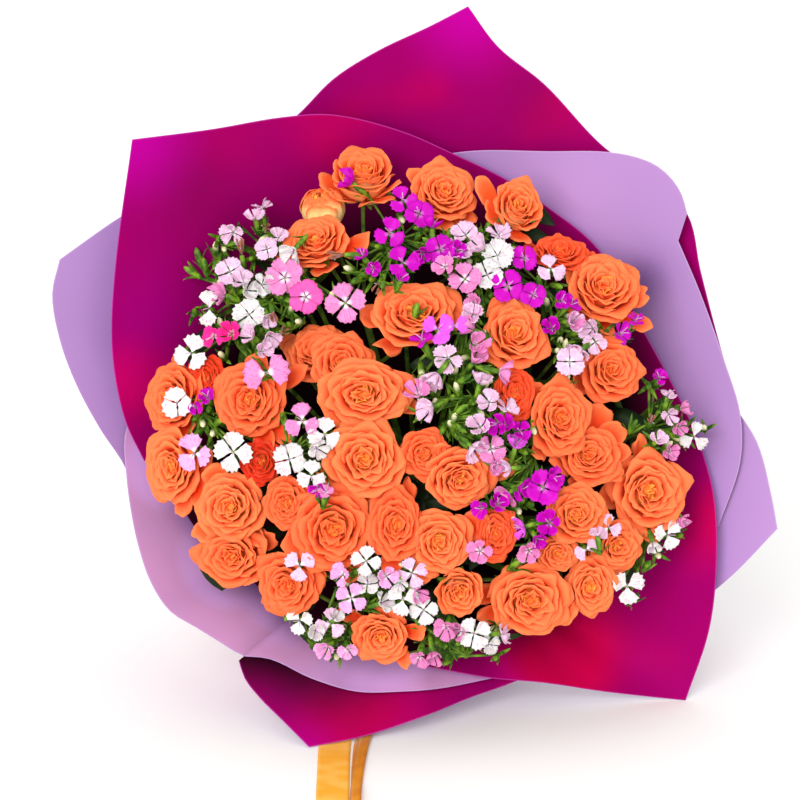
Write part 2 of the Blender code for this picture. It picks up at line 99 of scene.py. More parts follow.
FULL_TURN = 6.3  # a little over a whole turn, for random directions
GOLDEN_ANGLE = 2.39996
ROSE_LEAVES = 14  # tries for leaves in a rose spray
ROSE_LEAF_CLEARANCE = 14
ROSE_LEAF_SPREAD, ROSE_LEAF_REACH = 26, 34
LEAF_THICKNESS = 0.35
FLORET_THICKNESS = 0.3
SATIN_THICKNESS = 0.3
THREAD_TURN = 6283.0  # radians of the satin's ripple in a metre
OVER_ROSE = 14  # how far a floret stands in front of the depth of a rose that it crosses
CALYX_LENGTH = 17
BUD_LENGTH = 15
BUD_TRIES = 30
BUD_SPREAD, BUD_ROOM = 17, 7  # how far buds stray from the head's middle, and keep from its florets
WHORLS, WHORL_LEAVES, WHORL_STEP = 3, 8, 17  # of a sweet william stem

# Each rose: across, up, width, lean to the right, lean upwards (degrees), how far it is sunk, its make, and
# how much taller than wide it is.
ROSE_SPRAYS = {
    1: [(-25, 156, 50, 4, 24, 0, "cup", 1.0), (-54, 138, 31, -8, 34, 2, "bud", 1.0),
        (-59, 110, 47, -14, 14, 0, "open", 0.84)],
    2: [(31, 143, 46, 12, 6, 0, "open", 0.97), (81, 132, 39, 10, 12, 0, "cup", 1.18),
        (109, 102, 40, 0, 20, 4, "deep", 0.75)],
    3: [(139, 79, 54, 0, 14, 0, "open", 0.95), (145, 21, 45, 5, 0, 0, "open", 0.98),
        (79, 47, 45, 8, 10, 0, "open", 1.15)],
    4: [(11, 61, 63, 0, 12, 0, "open", 0.74), (-56, 35, 45, 0, 20, 4, "open", 0.98),
        (-39, 26, 42, 8, 0, 2, "open", 0.93)],
    5: [(-25, 4, 62, 0, -4, 0, "open", 0.74), (-24, -39, 55, 0, 6, 0, "open", 0.94),
        (17, -36, 34, 0, 0, 6, "open", 1.02), (42, -54, 47, 10, -10, 0, "open", 0.85)],
    6: [(-103, 1, 48, 0, 0, 0, "open", 1.06), (-156, 2, 44, -16, 5, 0, "open", 1.16),
        (-132, 15, 26, 0, 0, 8, "deep", 1.2)],
    7: [(-156, -45, 40, -10, -4, 0, "open", 1.35), (-116, -72, 48, 0, 4, 0, "open", 0.96),
        (-77, -70, 33, -6, 0, 2, "open", 1.1), (-94, -42, 28, 0, 0, 8, "deep", 1.13)],
    8: [(-115, -106, 51, -4, 6, 0, "open", 0.78), (-77, -126, 44, -8, -4, 0, "open", 1.05),
        (-13, -161, 39, -4, -6, 0, "open", 0.95)],
    9: [(-45, -88, 59, 4, 0, 0, "open", 1.0), (-3, -84, 37, 0, 8, 0, "open", 1.42),
        (27, -96, 43, 0, 4, 0, "open", 1.05), (65, -91, 27, 0, 0, 4, "deep", 1.4)],
    10: [(40, -130, 36, 0, -12, 2, "cup", 1.04), (89, -136, 57, 0, 4, 0, "open", 0.87),
         (129, -127, 36, -8, 0, 0, "open", 1.22), (107, -104, 30, 0, 0, 6, "open", 0.88)],
    11: [(120, -77, 43, -5, 10, 0, "open", 0.95), (148, -99, 37, 5, 0, 2, "open", 0.98),
         (170, -62, 54, -6, 0, 0, "open", 1.05)],
    12: [(110, -12, 42, 6, 4, 0, "open", 1.21), (128, -37, 46, -2, 8, 6, "open", 0.84),
         (78, 5, 27, 0, 0, 6, "deep", 1.4)],
}
# Loose outer petals of some roses, by spray and place in it: the direction in which each points (degrees
# from the right), how far it reaches and how wide it spreads (radians), in half widths of the bloom.
LOOSE_PETALS = {
    (1, 0): [(200, 1.14, 0.6), (-66, 1.18, 0.55), (-30, 1.0, 0.4), (235, 1.2, 0.4)],
    (1, 2): [(-10, 1.5, 0.45), (-80, 1.15, 0.5), (196, 1.1, 0.4)],
    (2, 0): [(142, 1.08, 0.36), (-95, 1.12, 0.5), (-40, 1.1, 0.4)],
    (2, 1): [(160, 1.5, 0.36), (-85, 1.2, 0.4), (195, 1.15, 0.5)],
    (2, 2): [(10, 1.2, 0.35), (160, 1.15, 0.4)],
    (3, 0): [(205, 1.15, 0.3), (240, 1.25, 0.4), (268, 1.25, 0.4), (-38, 1.4, 0.25), (0, 1.1, 0.4)],
    (3, 1): [(200, 1.12, 0.5), (100, 1.12, 0.3)],
    (3, 2): [(88, 1.12, 0.2), (200, 1.12, 0.5)],
    (4, 0): [(15, 1.08, 0.3), (170, 1.08, 0.4), (235, 1.2, 0.3)],
    (4, 1): [(150, 1.15, 0.4)],
    (5, 0): [(-20, 1.12, 0.25)],
    (5, 1): [(-70, 1.2, 0.35), (200, 1.1, 0.4)],
    (5, 3): [(10, 1.45, 0.4), (115, 1.15, 0.3)],
    (6, 0): [(28, 1.55, 0.22), (-70, 1.35, 0.3), (-48, 1.4, 0.2), (80, 1.1, 0.4)],
    (6, 1): [(95, 1.1, 0.2), (-70, 1.12, 0.4), (30, 1.15, 0.3)],
    (7, 0): [(-35, 1.35, 0.4), (-75, 1.15, 0.4), (5, 1.25, 0.4)],
    (7, 1): [(118, 1.2, 0.4), (222, 1.25, 0.35), (-55, 1.2, 0.3)],
    (8, 0): [(-18, 1.15, 0.45), (35, 1.12, 0.4), (180, 1.08, 0.4)],
    (8, 1): [(10, 1.02, 0.5)],
    (8, 2): [(150, 1.6, 0.22), (5, 1.35, 0.3), (-52, 1.35, 0.25), (60, 1.15, 0.4)],
    (9, 0): [(198, 1.04, 0.4), (48, 1.2, 0.35), (-70, 1.1, 0.4)],
    (9, 1): [(-100, 1.15, 0.4), (62, 1.15, 0.3)],
    (9, 2): [(22, 1.5, 0.4), (-120, 1.15, 0.4)],
    (10, 1): [(172, 1.25, 0.3), (205, 1.2, 0.25), (-25, 1.1, 0.4)],
    (10, 2): [(112, 1.3, 0.3)],
    (11, 1): [(-150, 1.15, 0.4)],
    (11, 2): [(98, 1.18, 0.22), (185, 1.1, 0.4), (-80, 1.08, 0.4)],
    (12, 0): [(235, 1.15, 0.3), (130, 1.1, 0.3)],
    (12, 1): [(12, 1.2, 0.4), (75, 1.7, 0.36), (46, 1.45, 0.4), (-32, 1.15, 0.35), (-100, 1.1, 0.4)],
}

# Each sweet william stem: the colour of most of its florets, then the florets, across and up, some of them
# with a colour of their own, and how large the smaller ones are.
DIANTHUS_STEMS = {
    1: ("pale", [(-113, 113), (-98, 123), (-93, 131), (-90, 102), (-82, 110), (-72, 101, "white"),
                 (-91, 116, "withered")]),
    2: ("pale", [(-115, 87), (-106, 80), (-119, 71, "pink", 0.9), (-129, 62, "white"),
                 (-103, 74, "white"), (-93, 78, "white"), (-102, 58, "white"), (-89, 55, "pale", 0.8),
                 (-107, 99, "withered"), (-86, 59, "withered")]),
    3: ("pink", [(-78, 83), (-64, 70, "rosy"), (-37, 66)]),
    4: ("white", [(-141, 32), (-126, 43, "hot"), (-114, 45, "hot"), (-100, 43, "pale", 0.9),
                  (-88, 43, "pale", 0.9), (-93, 33, "pale", 0.75), (-90.5, 18.5, "pink"),
                  (-80, 46, "withered")]),
    5: ("magenta", [(-33, 147), (2, 135), (13, 126), (-7, 113), (2, 93), (27, 102), (22, 117),
                    (-25, 97, "magenta", 0.7), (-18, 89, "magenta", 0.7), (38, 101),
                    (15, 99, "magenta", 0.8), (1, 82, "magenta", 0.7), (-39, 98, "withered"),
                    (-14, 79, "withered")]),
    6: ("pale", [(44, 112), (39, 98), (30, 90, "pink"), (44, 82, "pink"), (51, 64, "pink"), (67, 112),
                 (66, 98, "white"), (59, 85, "white"), (55, 102)]),
    7: ("magenta", [(73, 77), (84, 96), (90, 71), (103, 48), (109, 67), (115, 64), (102, 89, "pale")]),
    8: ("pale", [(116, 52), (130, 48), (132, 39), (122, 33), (114, 53, "pink"), (115, 26),
                 (149, 45, "magenta", 0.8), (159, 54, "magenta", 0.8)]),
    9: ("pale", [(26, 48, "orchid"), (36, 50, "orchid"), (15, 41, "magenta"), (49, 58), (49, 48, "pink"),
                 (50, 26, "pink"), (32, 28), (25, 17), (68, 19, "pink"), (51, 37, "pink")]),
    10: ("pale", [(12, 4, "pink"), (21, -5), (54, 12), (60, -1), (72, -5), (54, -18), (49, -32),
                  (62, -33, "pink"), (62, -44, "pink", 0.7)]),
    11: ("magenta", [(71, -18), (66, -16), (78, -31, "orchid", 1.1), (81, -21), (103, -52), (97, -59),
                     (81, -60), (66, -70), (55, -73), (73, -64, "pink"), (74, -46, "pale")]),
    12: ("pale", [(175, 15, "magenta"), (181, 3), (190, -6, "pink"), (182, -10), (188, -18, "pink"),
                  (169, -15, "withered"), (182, -35, "pink"), (199, -25, "white"), (174, -27)]),
    13: ("white", [(-151, -2), (-138, -5, "magenta", 0.6), (-130, 2, "magenta", 0.7),
                   (-139, -36, "blush"), (-113, -35), (-66, -14, "pink")]),
    14: ("white", [(-75, -40), (-60, -51), (-51, -23), (-56, -33), (-55, -60, "magenta"),
                   (-50, -62, "pink", 0.7)]),
    15: ("pale", [(-68, -112), (-39, -118, "blush", 0.9), (-33, -134, "blush"), (-23, -109, "white"),
                  (-9, -119, "blush", 0.9), (-22, -124, "white", 0.8), (0, -124, "white", 0.7), (8, -117),
                  (2, -135, "white"), (11, -130, "pink", 0.8), (16, -142, "white"),
                  (-12, -137, "white", 0.8)]),
    16: ("pale", [(-68, -149, "white", 0.9), (-57, -156, "white", 0.9), (-47, -151),
                  (-44, -148, "white", 0.7), (-49, -167, "blush"), (-35, -169, "blush", 0.9)]),
    17: ("white", [(31, -154, "pink", 0.9), (41, -155, "pink", 0.8), (50, -158), (60, -165, "white", 0.9),
                   (69, -158, "pale", 0.9), (13, -174, "pink", 0.9), (22, -171, "pink", 0.8)]),
    18: ("pale", [(54, -102, "pink"), (83, -86, "orchid"), (101, -83, "magenta"), (87, -102, "pink"),
                  (92, -93, "magenta", 0.7), (126, -101), (141, -86), (133, -91, "pale", 0.6)]),
    19: ("white", [(181, -91), (171, -97, "white", 0.8), (190, -80, "pink", 0.8), (154, -126)]),
}
# Stems with young florets, and how large they are.
FLORET_SIZES = {1: 0.92, 2: 0.95, 5: 0.92, 7: 0.85, 11: 0.88, 12: 0.75, 14: 0.9, 19: 0.9}
# Closed buds that stand clear at the edge of a head, by stem: across, up, and how far each points to the
# right and upwards (degrees).
BUDS = {
    5: [(-27, 85, -30, -10), (-33, 79, -30, -30), (-20, 81, -10, -20), (-12, 76, 0, -30),
        (-38, 90, -40, 0)],
    13: [(-141, -14, -20, -30), (-133, -18, 20, -30), (-127, -24, 10, -20), (-139, -25, -20, -40),
         (-120, -14, 40, 0)],
    2: [(-138, 103, -20, 62), (-125, 107, 28, 60), (-146, 90, -66, 20), (-133, 96, 4, 55)],
    9: [(48, 17, 50, 20), (12, 66, 20, 50), (37, 12, -30, 40)],
    10: [(46, -3, 60, 25), (50, -11, 70, 5), (38, -8, 20, 45), (57, -14, 70, -10), (45, -22, 50, -30),
         (33, -14, -20, 20), (28, -23, -10, -30), (11, -13, -20, -20), (40, -27, 20, -40),
         (60, 12, 30, 20), (36, 3, 0, 10), (20, 8, -20, 20)],
    12: [(176, -3, -60, 10), (168, -24, -50, 20), (184, -28, 20, 30)],
    6: [(60, 121, 5, 40), (33, 116, -10, 40), (93, 84, -30, 30)],
    11: [(76, -72, -20, 10), (84, -67, 20, 30), (81, -77, 0, -20), (90, -71, 10, 0)],
}
# Dark leaves deep in the bunch, in front of the tie, by rose spray: where each starts, across and up, and
# where it points (degrees from the right).
DEEP_LEAVES = {5: [(10, -88, 78), (24, -52, 250)]}

# Florets that are seen full face: how many petals, their length, the direction of the first, and half the
# angle that each one spreads over (degrees).
OPEN_FLORETS = {
    (-37, 66): (4, 15.5, 100, 38),
    (-113, -35): (4, 15, 80, 39),
    (-139, -36): (3, 14.5, 105, 46),
    (-66, -14): (3, 13.5, 95, 40),
    (-64, 70): (5, 13.5, 70, 38),
    (-78, 83): (5, 15, 100, 39),
    (-90.5, 18.5): (2, 17, 8, 56),
    (-151, -2): (3, 12, 100, 58),
    (-68, -112): (3, 12, 150, 42),
    (-33, -134): (4, 12, 60, 36),
    (-115, 87): (4, 11.5, 70, 42),
    (-102, 58): (4, 12.5, 80, 44),
    (-90, 102): (4, 9.5, 60, 44),
    (-129, 62): (2, 13.5, 95, 40),
    (97, -59): (4, 13.5, 20, 44),
    (-75, -40): (4, 13, 60, 42),
    (-60, -51): (3, 11, 90, 46),
    (-51, -23): (3, 12.5, 80, 46),
    (141, -86): (3, 10, 100, 42),
    (126, -101): (2, 9.5, 30, 50),
    (181, -91): (3, 11.5, 50, 42),
    (154, -126): (3, 13.5, 30, 44),
    (73, 77): (4, 13, 150, 42),
    (102, 89): (3, 11.5, 100, 44),
    (84, 96): (4, 10.5, 45, 42),
    (44, 82): (4, 12.5, 100, 42),
    (90, 71): (4, 10, 20, 44),
    (115, 26): (4, 11.5, 45, 44),
    (199, -25): (3, 12, 80, 34),
    (-23, -109): (4, 11.5, 80, 36),
    (8, -117): (4, 12, 110, 34),
    (2, -135): (3, 12, 20, 42),
    (16, -142): (4, 11, 100, 40),
    (50, -158): (4, 12.5, 30, 40),
    (-68, -149): (3, 10.5, 140, 42),
    (-47, -151): (3, 11.5, 80, 40),
    (-141, 32): (3, 14, 70, 46),
    (66, 98): (5, 12.5, 20, 38),
    (59, 85): (4, 12, 70, 44),
    (2, 93): (3, 13, 240, 44),
    (26, 48): (3, 12.5, 160, 44),
    (36, 50): (2, 11, 15, 46),
    (2, 135): (3, 11, 110, 46),
    (13, 126): (4, 11.5, 20, 46),
    (-7, 113): (3, 12, 200, 46),
    (27, 102): (4, 11.5, 60, 46),
}

# The inner face of the wrap in the directions round the tie (degrees, 0 is across): how far out the flowers
# reach, how deep the film lies there, and how much it rises for each millimetre further out.
WRAP_PROFILE = [
    (0, 188, -84, 0.60),
    (45, 232, -97, 0.65),
    (90, 262, -98, 0.65),
    (128, 238, -72, 0.70),
    (170, 200, -66, 0.70),
    (215, 145, -52, 0.80),
    (245, 111, -50, 0.87),
    (272, 103, -52, 0.82),
    (300, 112, -82, 0.35),
    (326, 145, -126, 0.15),
]
WRAP_TIE_RADIUS = 19
LAYER_PITCH = 1.5
LAYER_SPREAD = 0.022
SKIRT_END = -400
SKIRT_FLARE = 11

# Rims of the film sheets, across and up, clockwise as they are seen, with the layer they lie in.
SHEETS = {
    "inner_sheet": (0, [
        (-173, -41), (-185, -16), (-192, 12), (-195, 41), (-193, 85), (-181, 176), (-127, 183), (-80, 191),
        (-48, 193), (0, 182), (37, 166), (70, 150), (96, 133), (134, 102), (165, 46), (187, 5), (203, -31),
        (212, -64), (214, -110), (209, -155), (193, -203), (138, -197), (97, -191), (62, -188), (17, -180)]),
    "front_inner_sheet": (1, [
        (27, -176), (0, -174), (-37, -166), (-78, -143), (-104, -118), (-133, -93), (-152, -64),
        (-172, -25)]),
    "front_bottom_sheet": (2, [
        (81, -184), (62, -188), (26, -195), (0, -197), (-29, -197), (-60, -188), (-88, -175),
        (-107, -173)]),
    "right_sheet": (2, [
        (-20, 150), (37, 167), (103, 168), (141, 167.5), (160, 164), (174, 158), (184, 149), (190.5, 138.5),
        (194, 126), (188, 107.5), (203, 72),
        (219, 27), (230, -10), (230, -41), (215, -86)]),
    "front_left_sheet": (3, [
        (-93, -173), (-107, -172), (-121, -164), (-138, -153.5), (-155, -143), (-168, -124), (-177, -98),
        (-182, -74), (-185, -50), (-186, -25), (-184, -17)]),
    "right_corner_sheet": (3, [
        (223, 0), (241, -28), (251, -65), (255, -87), (224, -119), (196, -142)]),
    "left_sheet": (4, [
        (-179, -68), (-185, -47), (-203, -19), (-219, 11), (-230, 41), (-235, 72), (-230, 95), (-187, 125),
        (-169, 135)]),
    "back_sheet": (4, [
        (-101, 169), (-70, 192), (-45, 217), (-15, 236), (21, 253), (46, 266), (66, 239), (97, 214),
        (139, 170), (169, 150), (194, 126), (203, 88), (217, 34), (230, -10), (233, -27)]),
    "bottom_tip_sheet": (4, [
        (95, -182), (76, -191), (48, -201), (21, -212), (-24, -227), (-61.5, -234.5), (-80, -216),
        (-95, -201), (-105, -188), (-109, -176)]),
}
# Flat cut of each sheet before it was gathered, in metres and square metres: its width round the rim, its
# length from the rim's furthest point to its end behind the tie, and the area of the fan that is left of it.
FLAT_CUTS = {
    "inner_sheet": (1.16, 0.51, 0.18),
    "front_inner_sheet": (0.31, 0.37, 0.041),
    "front_bottom_sheet": (0.22, 0.365, 0.032),
    "right_sheet": (0.49, 0.44, 0.079),
    "front_left_sheet": (0.215, 0.38, 0.0335),
    "right_corner_sheet": (0.195, 0.41, 0.028),
    "left_sheet": (0.265, 0.47, 0.041),
    "back_sheet": (0.57, 0.495, 0.1),
    "bottom_tip_sheet": (0.285, 0.405, 0.041),
}
LILAC_INSIDE = ("front_bottom_sheet", "right_sheet", "front_left_sheet", "right_corner_sheet", "left_sheet")
CORNER_TURN = math.radians(33)  # a rim keeps a corner where it turns more sharply than this
RIM_STEP = 7
# The tip's colour is painted light coming through the film.
TIP_REACH, NO_TIP = 0.62, 9  # how far a tip's colour reaches, in tenths of a metre, and a value beyond it

RIBBON_BACK = -297
RIBBON_WIDTH = 22
BAND_RADIUS = 27
KNOT_ANGLE = math.radians(235)
KNOT_RADIUS = 33
BOW_LENGTH, BOW_SWELL = 58, 9
BOW_START = 6.5
KNOT_SHAPE = [(-1, 2.5), (3, 4.6), (8, 5.6), (14, 5.6), (19, 4.6), (23, 2.5)]  # from its back: depth, radius
# Ribbon tails: across, out, height over the surface, and the width left where the satin curls lengthwise.
TAILS = {
    "ribbon_tail_left": [
        (-11, -286, 40, 22), (-14, -270, 26, 22), (-18, -250, 11, 22), (-23, -224, 2, 22),
        (-30, -180, 0.3, 22), (-38, -110, 0.3, 22), (-44, -40, 0.3, 22), (-44.5, 30, 0.3, 22),
        (-44, 105, 0.3, 22)],
    "ribbon_tail_right": [
        (-5, -262, 38, 18), (-1, -250, 22, 20), (4, -232, 9, 20), (6, -205, 2, 20), (0, -165, 0.3, 18),
        (-14, -100, 0.3, 14), (-25, -40, 0.3, 11), (-28, 10, 0.3, 9), (-29, 60, 0.3, 7), (-29, 105, 0.3, 7)],
}

ALL_ROSES = [rose for spray in ROSE_SPRAYS.values() for rose in spray]


# ---------------------------------------------------------------- places

def turned(across, up, out):
    """A direction or a length of the face frame, in the part's frame."""
    return Vector((
        across,
        up * math.sin(FACE_RISE) - out * math.cos(FACE_RISE),
        up * math.cos(FACE_RISE) + out * math.sin(FACE_RISE),
    ))


def ray(turn):
    """The direction of a turn from the right, across and up."""
    return Vector((math.cos(turn), math.sin(turn)))


def uncentred(across, up, out):
    """A point as place() gives it, before the part was centred."""
    spread = (LOOK_DISTANCE - out) / LOOK_DISTANCE
    return turned(across * spread, up * spread, out) * MM


def tape_corner():
    """The lowest corner of the tape ring, before the part was centred."""
    ring = []
    for k in range(TAPE_SIDES):
        at = TIE + ray(2 * math.pi * k / TAPE_SIDES) * TAPE_OUTSIDE
        ring += [uncentred(at.x, at.y, TIE_OUT), uncentred(at.x, at.y, TIE_BACK)]
    return Vector([min(point[axis] for point in ring) for axis in range(3)])


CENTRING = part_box("stem_tie")[0] - tape_corner()


def place(across, up, out):
    """A point of the face as seen from LOOK_DISTANCE, in the part's frame and in metres."""
    return uncentred(across, up, out) + CENTRING


def face_of(point):
    """Across, up and out of a point in the part's frame; the opposite of place()."""
    own = (point - CENTRING) / MM
    out = own.z * math.sin(FACE_RISE) - own.y * math.cos(FACE_RISE)
    up = own.z * math.cos(FACE_RISE) + own.y * math.sin(FACE_RISE)
    spread = (LOOK_DISTANCE - out) / LOOK_DISTANCE
    return Vector((own.x / spread, up / spread)), out


def on_surface(across, out, height):
    """A point at a height over the surface that the bouquet lies on."""
    up = ((height * MM - CENTRING.z) / MM - out * math.sin(FACE_RISE)) / math.cos(FACE_RISE)
    return turned(across, up, out) * MM + CENTRING


def dome_out(across, up):
    """Depth of the dome that the flowers make."""
    return DOME_TOP - (Vector((across, up)) - DOME_CENTRE).length_squared / (2 * DOME_RADIUS)


def eased(part):
    """0 to 1 as part goes from 0 to 1, slow at both ends."""
    part = max(0.0, min(1.0, part))
    return part * part * (3 - 2 * part)


# ---------------------------------------------------------------- colours and nodes

def srgb(code, alpha=1.0):
    """The linear colour of an sRGB hex value such as #FF8A45."""
    values = [int(code[k:k + 2], 16) / 255 for k in (1, 3, 5)]
    return (*[v / 12.92 if v <= 0.04045 else ((v + 0.055) / 1.055) ** 2.4 for v in values], alpha)


def add(tree, kind, inputs=None, **settings):
    """Adds one node with its settings; an input is a value, or another node's output to link."""
    item = tree.nodes.new(kind)
    for name, value in settings.items():
        setattr(item, name, value)
    for name, value in (inputs or {}).items():
        if isinstance(value, bpy.types.NodeSocket):
            tree.links.new(value, item.inputs[name])
        else:
            item.inputs[name].default_value = value
    return item


def blend(tree, factor, low, high, way="MIX"):
    """The colour between two colours."""
    mixed = add(tree, "ShaderNodeMix", {0: factor, 6: low, 7: high}, data_type="RGBA", blend_type=way)
    return mixed.outputs[2]


def between(tree, value, low, high):
    """0 below low and 1 above high, smooth in between."""
    ranged = add(tree, "ShaderNodeMapRange", {0: value, 1: low, 2: high}, interpolation_type="SMOOTHSTEP")
    return ranged.outputs[0]


def product(tree, value, other):
    """The product of two values."""
    return add(tree, "ShaderNodeMath", {0: value, 1: other}, operation="MULTIPLY").outputs[0]


def noise(tree, scale, detail, places=None):
    """Noise over some places, or over the piece's own."""
    if places is None:
        places = add(tree, "ShaderNodeTexCoord").outputs["Object"]
    return add(tree, "ShaderNodeTexNoise", {"Vector": places, "Scale": scale, "Detail": detail}).outputs[0]


def stretched(tree, scale, *parts):
    """Places made of the parts given, scaled along each."""
    joined = add(tree, "ShaderNodeCombineXYZ", dict(enumerate(parts)))
    return add(tree, "ShaderNodeMapping", {"Vector": joined.outputs[0], "Scale": scale}).outputs[0]


def mesh_marks(tree, name):
    """The four values that the mesh holds at each vertex. Those of "petal" are how far along and across the
    petal, and then the make of a rose and the petal's layer in it, a floret petal's own share, or how dark
    and how creamy a green part is. film_marks() says what those of "film" are."""
    spots = add(tree, "ShaderNodeAttribute", attribute_name=name)
    split = add(tree, "ShaderNodeSeparateColor", {0: spots.outputs["Color"]})
    return (*split.outputs[:3], spots.outputs["Alpha"])


def new_material(name, **sockets):
    """A material with constants on its shader's own sockets, and its node tree."""
    material = bpy.data.materials.new(name)
    material.use_nodes = True
    shader = material.node_tree.nodes["Principled BSDF"]
    for socket, value in sockets.items():
        shader.inputs[socket.replace("_", " ")].default_value = value
    return material, material.node_tree


def dressed(material, colour, height, strength, distance):
    """The material, once it has its colour and a fine relief that is distance metres high."""
    tree = material.node_tree
    shader = tree.nodes["Principled BSDF"]
    bump = add(tree, "ShaderNodeBump", {"Height": height, "Strength": strength, "Distance": distance})
    tree.links.new(colour, shader.inputs["Base Color"])
    tree.links.new(bump.outputs[0], shader.inputs["Normal"])
    return material


def rose_petal_material(name, rim, middle, heart, golden):
    """Fresh rose petal: thin velvety skin, matte, with a little light coming through; the rim is palest,
    partly as a painted highlight where the rims catch the light, the colour gathers towards the foot, partly
    as painted shade between the petals, and golden is the colour that a young bloom has there."""
    material, tree = new_material(
        name, Roughness=0.62, IOR=1.38, Specular_IOR_Level=0.2, Subsurface_Weight=0.4,
        Subsurface_Scale=0.0015, Subsurface_Radius=(1.0, 0.5, 0.3), Sheen_Weight=0.3, Sheen_Roughness=0.5,
        Sheen_Tint=srgb("#FF9A60"))
    along, aside, make, layer = mesh_marks(tree, "petal")
    # Paler at the rim and deeper at the foot: partly the petal's own colour, partly painted highlight on the
    # rims and painted shade between the petals.
    colour = blend(tree, between(tree, along, 0.6, 1.0), srgb(middle), srgb(rim))
    colour = blend(tree, between(tree, along, 0.7, 0.3), colour, srgb(heart))
    young = product(tree, between(tree, make, 0.2, 0.0), between(tree, along, 0.97, 0.7))
    colour = blend(tree, young, colour, srgb(golden))
    deep = blend(tree, 0.85, colour, srgb("#EC2C04"))
    colour = blend(tree, between(tree, make, 0.28, 1.05), colour, deep)
    colour = blend(tree, between(tree, make, 1.05, 2.0), colour, srgb("#B41000"))
    # The petals furthest in are young, and more golden, most of all in the paler blooms.
    colour = blend(tree, product(tree, between(tree, layer, 0.2, 0.02), 0.6), colour, srgb("#FF8038"))
    sunny = product(tree, between(tree, layer, 0.16, 0.03), between(tree, make, 0.42, 0.3))
    colour = blend(tree, sunny, colour, srgb("#FFA040"))
    # Mottling of a petal is 3 to 6 mm across.
    blush = blend(tree, 0.3, colour, srgb("#FF6A54"))
    colour = blend(tree, between(tree, noise(tree, 220, 3), 0.45, 0.75), colour, blush)
    ribs = noise(tree, 9, 2, stretched(tree, (5, 0.5, 1), aside, along))
    return dressed(material, colour, ribs, 0.35, 0.0006)


# The colours of a rose petal's two sides: at its rim, partly a painted highlight, in its middle, at its
# foot, partly painted shade between the petals, and there in a young bloom.
ROSE_COLOURS = {
    "back": ("#FF763E", "#FF5C24", "#FF7426", "#FFD488"),
    "face": ("#FF7A46", "#FC5220", "#F42C08", "#FF6428"),
}
FLORET_COLOURS = {
    "white": "#D4D3CF",
    "pale": "#DCB8D0",
    "pink": "#D882B6",
    "blush": "#DEA0CC",
    "hot": "#EC2C90",
    "rosy": "#E056A4",
    "magenta": "#BE00B0",
    "orchid": "#D858D8",
    "withered": "#A06850",
}
THREAD_COLOUR = "#C09AB8"
# How pale the eye is of a floret of a strong colour; the others have white eyes.
EYES = {"hot": 0.6, "magenta": 0.2, "orchid": 0.4, "withered": 0.2}


def floret_material():
    """Sweet william petal: thin and silky, paler at its eye, with fine streaks out to the toothed edge."""
    material, tree = new_material(
        "fresh sweet william petals", Roughness=0.5, IOR=1.38, Subsurface_Weight=0.1, Subsurface_Scale=0.003,
        Specular_IOR_Level=0.2)
    along, aside, share, _ = mesh_marks(tree, "petal")
    paint = add(tree, "ShaderNodeAttribute", attribute_name="bloom_colour")
    own = paint.outputs["Color"]
    streaks = noise(tree, 3, 3, stretched(tree, (9, 1.2, 20), aside, along, share))
    dark = blend(tree, 1.0, own, srgb("#E58FC8"), "MULTIPLY")
    colour = blend(tree, between(tree, streaks, 0.52, 0.72), own, dark)
    eye = product(tree, between(tree, along, 0.34, 0.1), paint.outputs["Alpha"])
    colour = blend(tree, eye, colour, blend(tree, 0.65, own, srgb("#FFF6FB")))
    return dressed(material, colour, streaks, 0.3, 0.0004)


def green_material(name, light, dark):
    """Leaf and stem skin: waxy green, with lighter and darker blotches a few millimetres across; the tips of
    some buds show the cream petals inside."""
    material, tree = new_material(name, Roughness=0.52, IOR=1.42, Specular_IOR_Level=0.25)
    blotch = noise(tree, 160, 4)
    _, _, age, cream = mesh_marks(tree, "petal")
    colour = blend(tree, between(tree, blotch, 0.35, 0.7), srgb(dark), srgb(light))
    colour = blend(tree, age, colour, srgb("#14280C"))
    colour = blend(tree, cream, colour, srgb("#E4E0B4"))
    return dressed(material, colour, blotch, 0.2, 0.0005)


def film_material(name, tip, middle, patch, shade, edge, inside):
    """Matte wrapping film: calendered plastic with a soft sheen. Its colour changes over 10 cm: towards its
    tips it is painted lighter, as painted light coming through the film, and on its inside it turns crimson
    in patches and is painted darker where it lies under something, as painted shade; the cut edge is paler,
    as light leaves there."""
    material, tree = new_material(name, Roughness=0.65, IOR=1.3, Specular_IOR_Level=0.03)
    from_rim, patched, shaded, from_tip = mesh_marks(tree, "film")
    colour = srgb(middle)
    if inside:
        cloudy = add(tree, "ShaderNodeMath", {0: patched, 1: noise(tree, 14, 1)}, operation="ADD")
        colour = blend(tree, between(tree, cloudy.outputs[0], 0.55, 1.5), colour, srgb(patch))
    # Painted light: at the tips, in brighter spots and near the roses.
    colour = blend(tree, between(tree, from_tip, TIP_REACH, 0.0), colour, srgb(tip))
    # Painted shade under the flowers, in folds and in shadows.
    if inside:
        colour = blend(tree, shaded, colour, srgb(shade))
    colour = blend(tree, between(tree, from_rim, 0.009, 0.0), colour, srgb(edge))
    # The grain of the film is finer than a millimetre; it is drawn about 1.5 mm wide so that it shows.
    return dressed(material, colour, noise(tree, 700, 2), 0.06, 0.0003)


def ribbon_material(name, low, high):
    """Amber satin ribbon: woven with long floats, so it has a silky gloss and fine threads across it."""
    material, tree = new_material(
        name, Roughness=0.42, IOR=1.5, Specular_IOR_Level=0.2, Sheen_Weight=0.05, Sheen_Roughness=0.4)
    _, travelled, _, _ = mesh_marks(tree, "film")
    # Threads are 0.25 mm apart; they are drawn 1 mm apart so that they show.
    ripple = add(tree, "ShaderNodeMath", {0: product(tree, travelled, THREAD_TURN)}, operation="SINE")
    colour = blend(tree, between(tree, noise(tree, 60, 1), 0.35, 0.7), srgb(low), srgb(high))
    return dressed(material, colour, ripple.outputs[0], 0.12, 0.0002)


